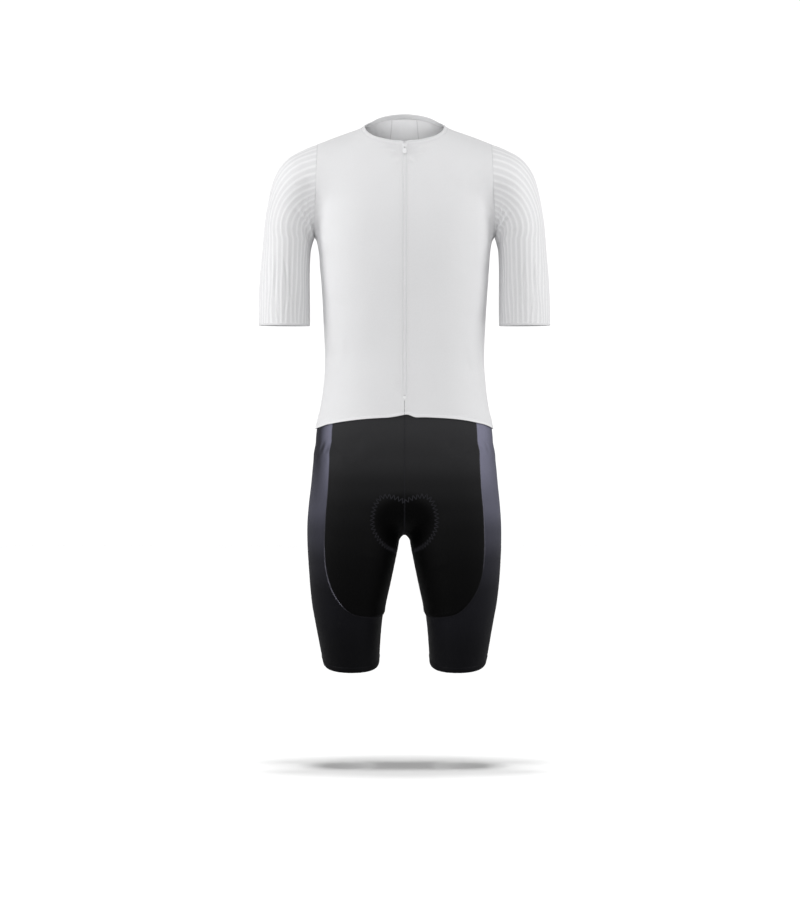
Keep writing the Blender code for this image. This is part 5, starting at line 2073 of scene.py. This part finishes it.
class SKINSUIT_OT_zip(bpy.types.Operator):
    """Build the zip's teeth and folds, and finish its tapes, stop, slider and pull"""

    bl_idname = "skinsuit.zip"
    bl_label = "Zip"

    def execute(self, context):
        skin, lines = jersey_now(), jersey_lines()
        edges = [skin.points[line] for line in lines["zip"]]
        left, right = sorted(edges, key=lambda edge: -edge[:, 0].mean())
        order = np.argsort(left[:, 2])[::-1]
        heights = np.arange(ZIP_TOP, ZIP_BOTTOM, -in_mm("tooth_pitch") / 2)
        depth = np.interp(-heights, -left[order, 2], left[order, 1])
        middle = np.stack([0 * heights, depth, heights], -1)
        along = unit(np.gradient(middle, axis=0))
        out = unit(np.cross(along, -ACROSS))
        if out[:, 1].mean() > 0:
            out = -out
        side = alternating(len(heights)) * ACROSS
        base = middle + out * TOOTH_HEIGHT
        parts = [threads(base - side * TOOTH_INNER, base + side * TOOTH_OUTER, out, TOOTH_RADIUS, TOOTH_ARCH, 6)]
        parts.append(strip(Track(None, middle, FOLD_STEP, False, out), CORE, 1.0))
        for x in (-TOOTH_ROW, TOOTH_ROW):
            row = base + x * ACROSS + out * TOOTH_RADIUS
            parts.append(threads(row[:-1], row[1:], out[:-1], 0.22, 0.12))
        teeth = sew("zip_teeth", parts, "zip nylon", "zip_nylon")
        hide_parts("zip_coil")
        folds, sewn = [], []
        for edge, toward in ((left, 1.0), (right, -1.0)):
            track = Track(skin, edge[np.argsort(edge[:, 2])], FOLD_STEP)
            turn = 1.0 if (track.across[:, 0] * toward).sum() > 0 else -1.0
            folds.append(strip(track, ZIP_FOLD, turn))
            inside = track.points + turn * track.across * ZIP_STITCH_IN
            sewn.append(run_stitches(Track(skin, inside, in_mm("stitch_pitch") * 1.2), ROW_THREAD))
        sew("zip_folds", folds, "jersey", "jersey_knit")
        sew("zip_stitching", sewn, "white thread", "jersey_knit")
        for name, finish in CAD_FINISHES.items():
            mesh = frame["nodes"][name].data
            mesh.materials.clear()
            mesh.materials.append(look(finish))
        return {"FINISHED"}


def soft_light(name, place, target, size, energy):
    """A large square light aimed at a target."""
    data = bpy.data.lights.new(name, "AREA")
    data.shape = "RECTANGLE"
    data.size, data.size_y = size
    data.energy = energy
    light = new_object(name, data)
    light.location = place
    light.rotation_euler = (Vector(target) - Vector(place)).to_track_quat("-Z", "Y").to_euler()
    return light


def studio_world():
    """A world that is brighter to the camera than to the suit."""
    world = bpy.data.worlds.new("studio")
    world.use_nodes = True
    tree = world.node_tree
    tree.nodes.clear()
    both = put(tree, "ShaderNodeMixShader", {0: put(tree, "ShaderNodeLightPath").outputs["Is Camera Ray"]})
    for place, strength in ((1, WORLD_LIGHT), (2, WORLD_SHOWN)):
        values = {"Color": (1.0, 1.0, 1.0, 1.0), "Strength": strength}
        feed(tree, both.inputs[place], put(tree, "ShaderNodeBackground", values).outputs[0])
    feed(tree, put(tree, "ShaderNodeOutputWorld").inputs["Surface"], both.outputs[0])
    return world


def pale_floor(pale):
    made, tree, sockets = new_material("pale floor", 0.85, Specular_IOR_Level=0.1)
    tone = soft_tone(tree, solid_place(tree), Patches=1.5)["Tone"]
    feed(tree, sockets["Base Color"], mixed(tree, tone, pale, scaled(pale, 0.985)))
    mesh = bpy.data.meshes.new("floor")
    sides = ((-1, -1), (1, -1), (1, 1), (-1, 1))
    mesh.from_pydata([(x * FLOOR_HALF, y * FLOOR_HALF, FLOOR_HEIGHT) for x, y in sides], [], [(0, 1, 2, 3)])
    mesh.materials.append(made)
    floor = new_object("floor", mesh)
    floor.visible_diffuse = False
    floor.visible_glossy = False
    return floor


def light_floor(floor):
    """Two suns that reach the floor alone."""
    only_floor = bpy.data.collections.new("floor light")
    only_floor.objects.link(floor)
    for lean in OVERHEAD_LEANS:
        sun = new_object("overhead", bpy.data.lights.new("overhead", "SUN"))
        sun.data.energy = OVERHEAD / len(OVERHEAD_LEANS)
        sun.data.angle = math.radians(OVERHEAD_ANGLE)
        sun.location = (0.0, 0.0, 3.0)
        sun.rotation_euler = (math.radians(lean), 0.0, 0.0)
        sun.light_linking.receiver_collection = only_floor


def light_suit(floor):
    """The soft lights. One reaches only the inside of the neck, and the one behind leaves out the floor."""
    lit = {name: bpy.data.collections.new(name + " light") for name in ("neck", "back")}
    for piece in bpy.context.scene.collection.objects:
        if piece.name.startswith(("jersey_back", "inner_seam", "neck_inner")):
            lit["neck"].objects.link(piece)
        if piece.type == "MESH" and piece != floor:
            lit["back"].objects.link(piece)
    for row in LIGHTS:
        light = soft_light(**row)
        light.light_linking.receiver_collection = lit.get(row["name"])


def front_camera():
    data = bpy.data.cameras.new("camera")
    camera = new_object("camera", data)
    camera.location = (CAMERA_ACROSS, -CAMERA_AWAY, CAMERA_HEIGHT)
    camera.rotation_euler = (math.pi / 2, 0.0, 0.0)
    data.lens = data.sensor_width * CAMERA_AWAY / VIEW_HEIGHT
    data.shift_y = (VIEW_MIDDLE - CAMERA_HEIGHT) / VIEW_HEIGHT
    data.clip_end = 60.0
    return camera


class SKINSUIT_OT_stage(bpy.types.Operator):
    """Build the floor, the lights and the camera"""

    bl_idname = "skinsuit.stage"
    bl_label = "Stage"

    def execute(self, context):
        scene = context.scene
        scene.view_settings.view_transform = "Standard"
        scene.world = studio_world()
        floor = pale_floor(tuple(scene.skinsuit_colours.floor))
        light_floor(floor)
        light_suit(floor)
        scene.camera = front_camera()
        return {"FINISHED"}


class SKINSUIT_PT_panel(bpy.types.Panel):
    """Sizes, colours and builders of the skinsuit"""

    bl_idname = "SKINSUIT_PT_panel"
    bl_label = "Skinsuit"
    bl_space_type = "VIEW_3D"
    bl_region_type = "UI"
    bl_category = "Skinsuit"

    def draw(self, context):
        layout = self.layout
        for group_name, kind in (("skinsuit_sizes", SkinsuitSizes), ("skinsuit_colours", SkinsuitColours)):
            box = layout.box()
            for name in kind.__annotations__:
                box.prop(getattr(context.scene, group_name), name)
        for operator in OPERATORS:
            layout.operator(operator.bl_idname)


OPERATORS = (
    SKINSUIT_OT_jersey,
    SKINSUIT_OT_sleeves,
    SKINSUIT_OT_shorts,
    SKINSUIT_OT_seat_pad,
    SKINSUIT_OT_seams,
    SKINSUIT_OT_hems,
    SKINSUIT_OT_pad_stitching,
    SKINSUIT_OT_zip,
    SKINSUIT_OT_stage,
)
CLASSES = (SkinsuitSizes, SkinsuitColours, *OPERATORS, SKINSUIT_PT_panel)


def register():
    for kind in CLASSES:
        bpy.utils.register_class(kind)
    bpy.types.Scene.skinsuit_sizes = PointerProperty(type=SkinsuitSizes)
    bpy.types.Scene.skinsuit_colours = PointerProperty(type=SkinsuitColours)


def unregister():
    del bpy.types.Scene.skinsuit_colours
    del bpy.types.Scene.skinsuit_sizes
    for kind in reversed(CLASSES):
        bpy.utils.unregister_class(kind)


def main():
    register()
    for operator in OPERATORS:
        group_name, name = operator.bl_idname.split(".")
        getattr(getattr(bpy.ops, group_name), name)()


if __name__ == "__main__":
    main()
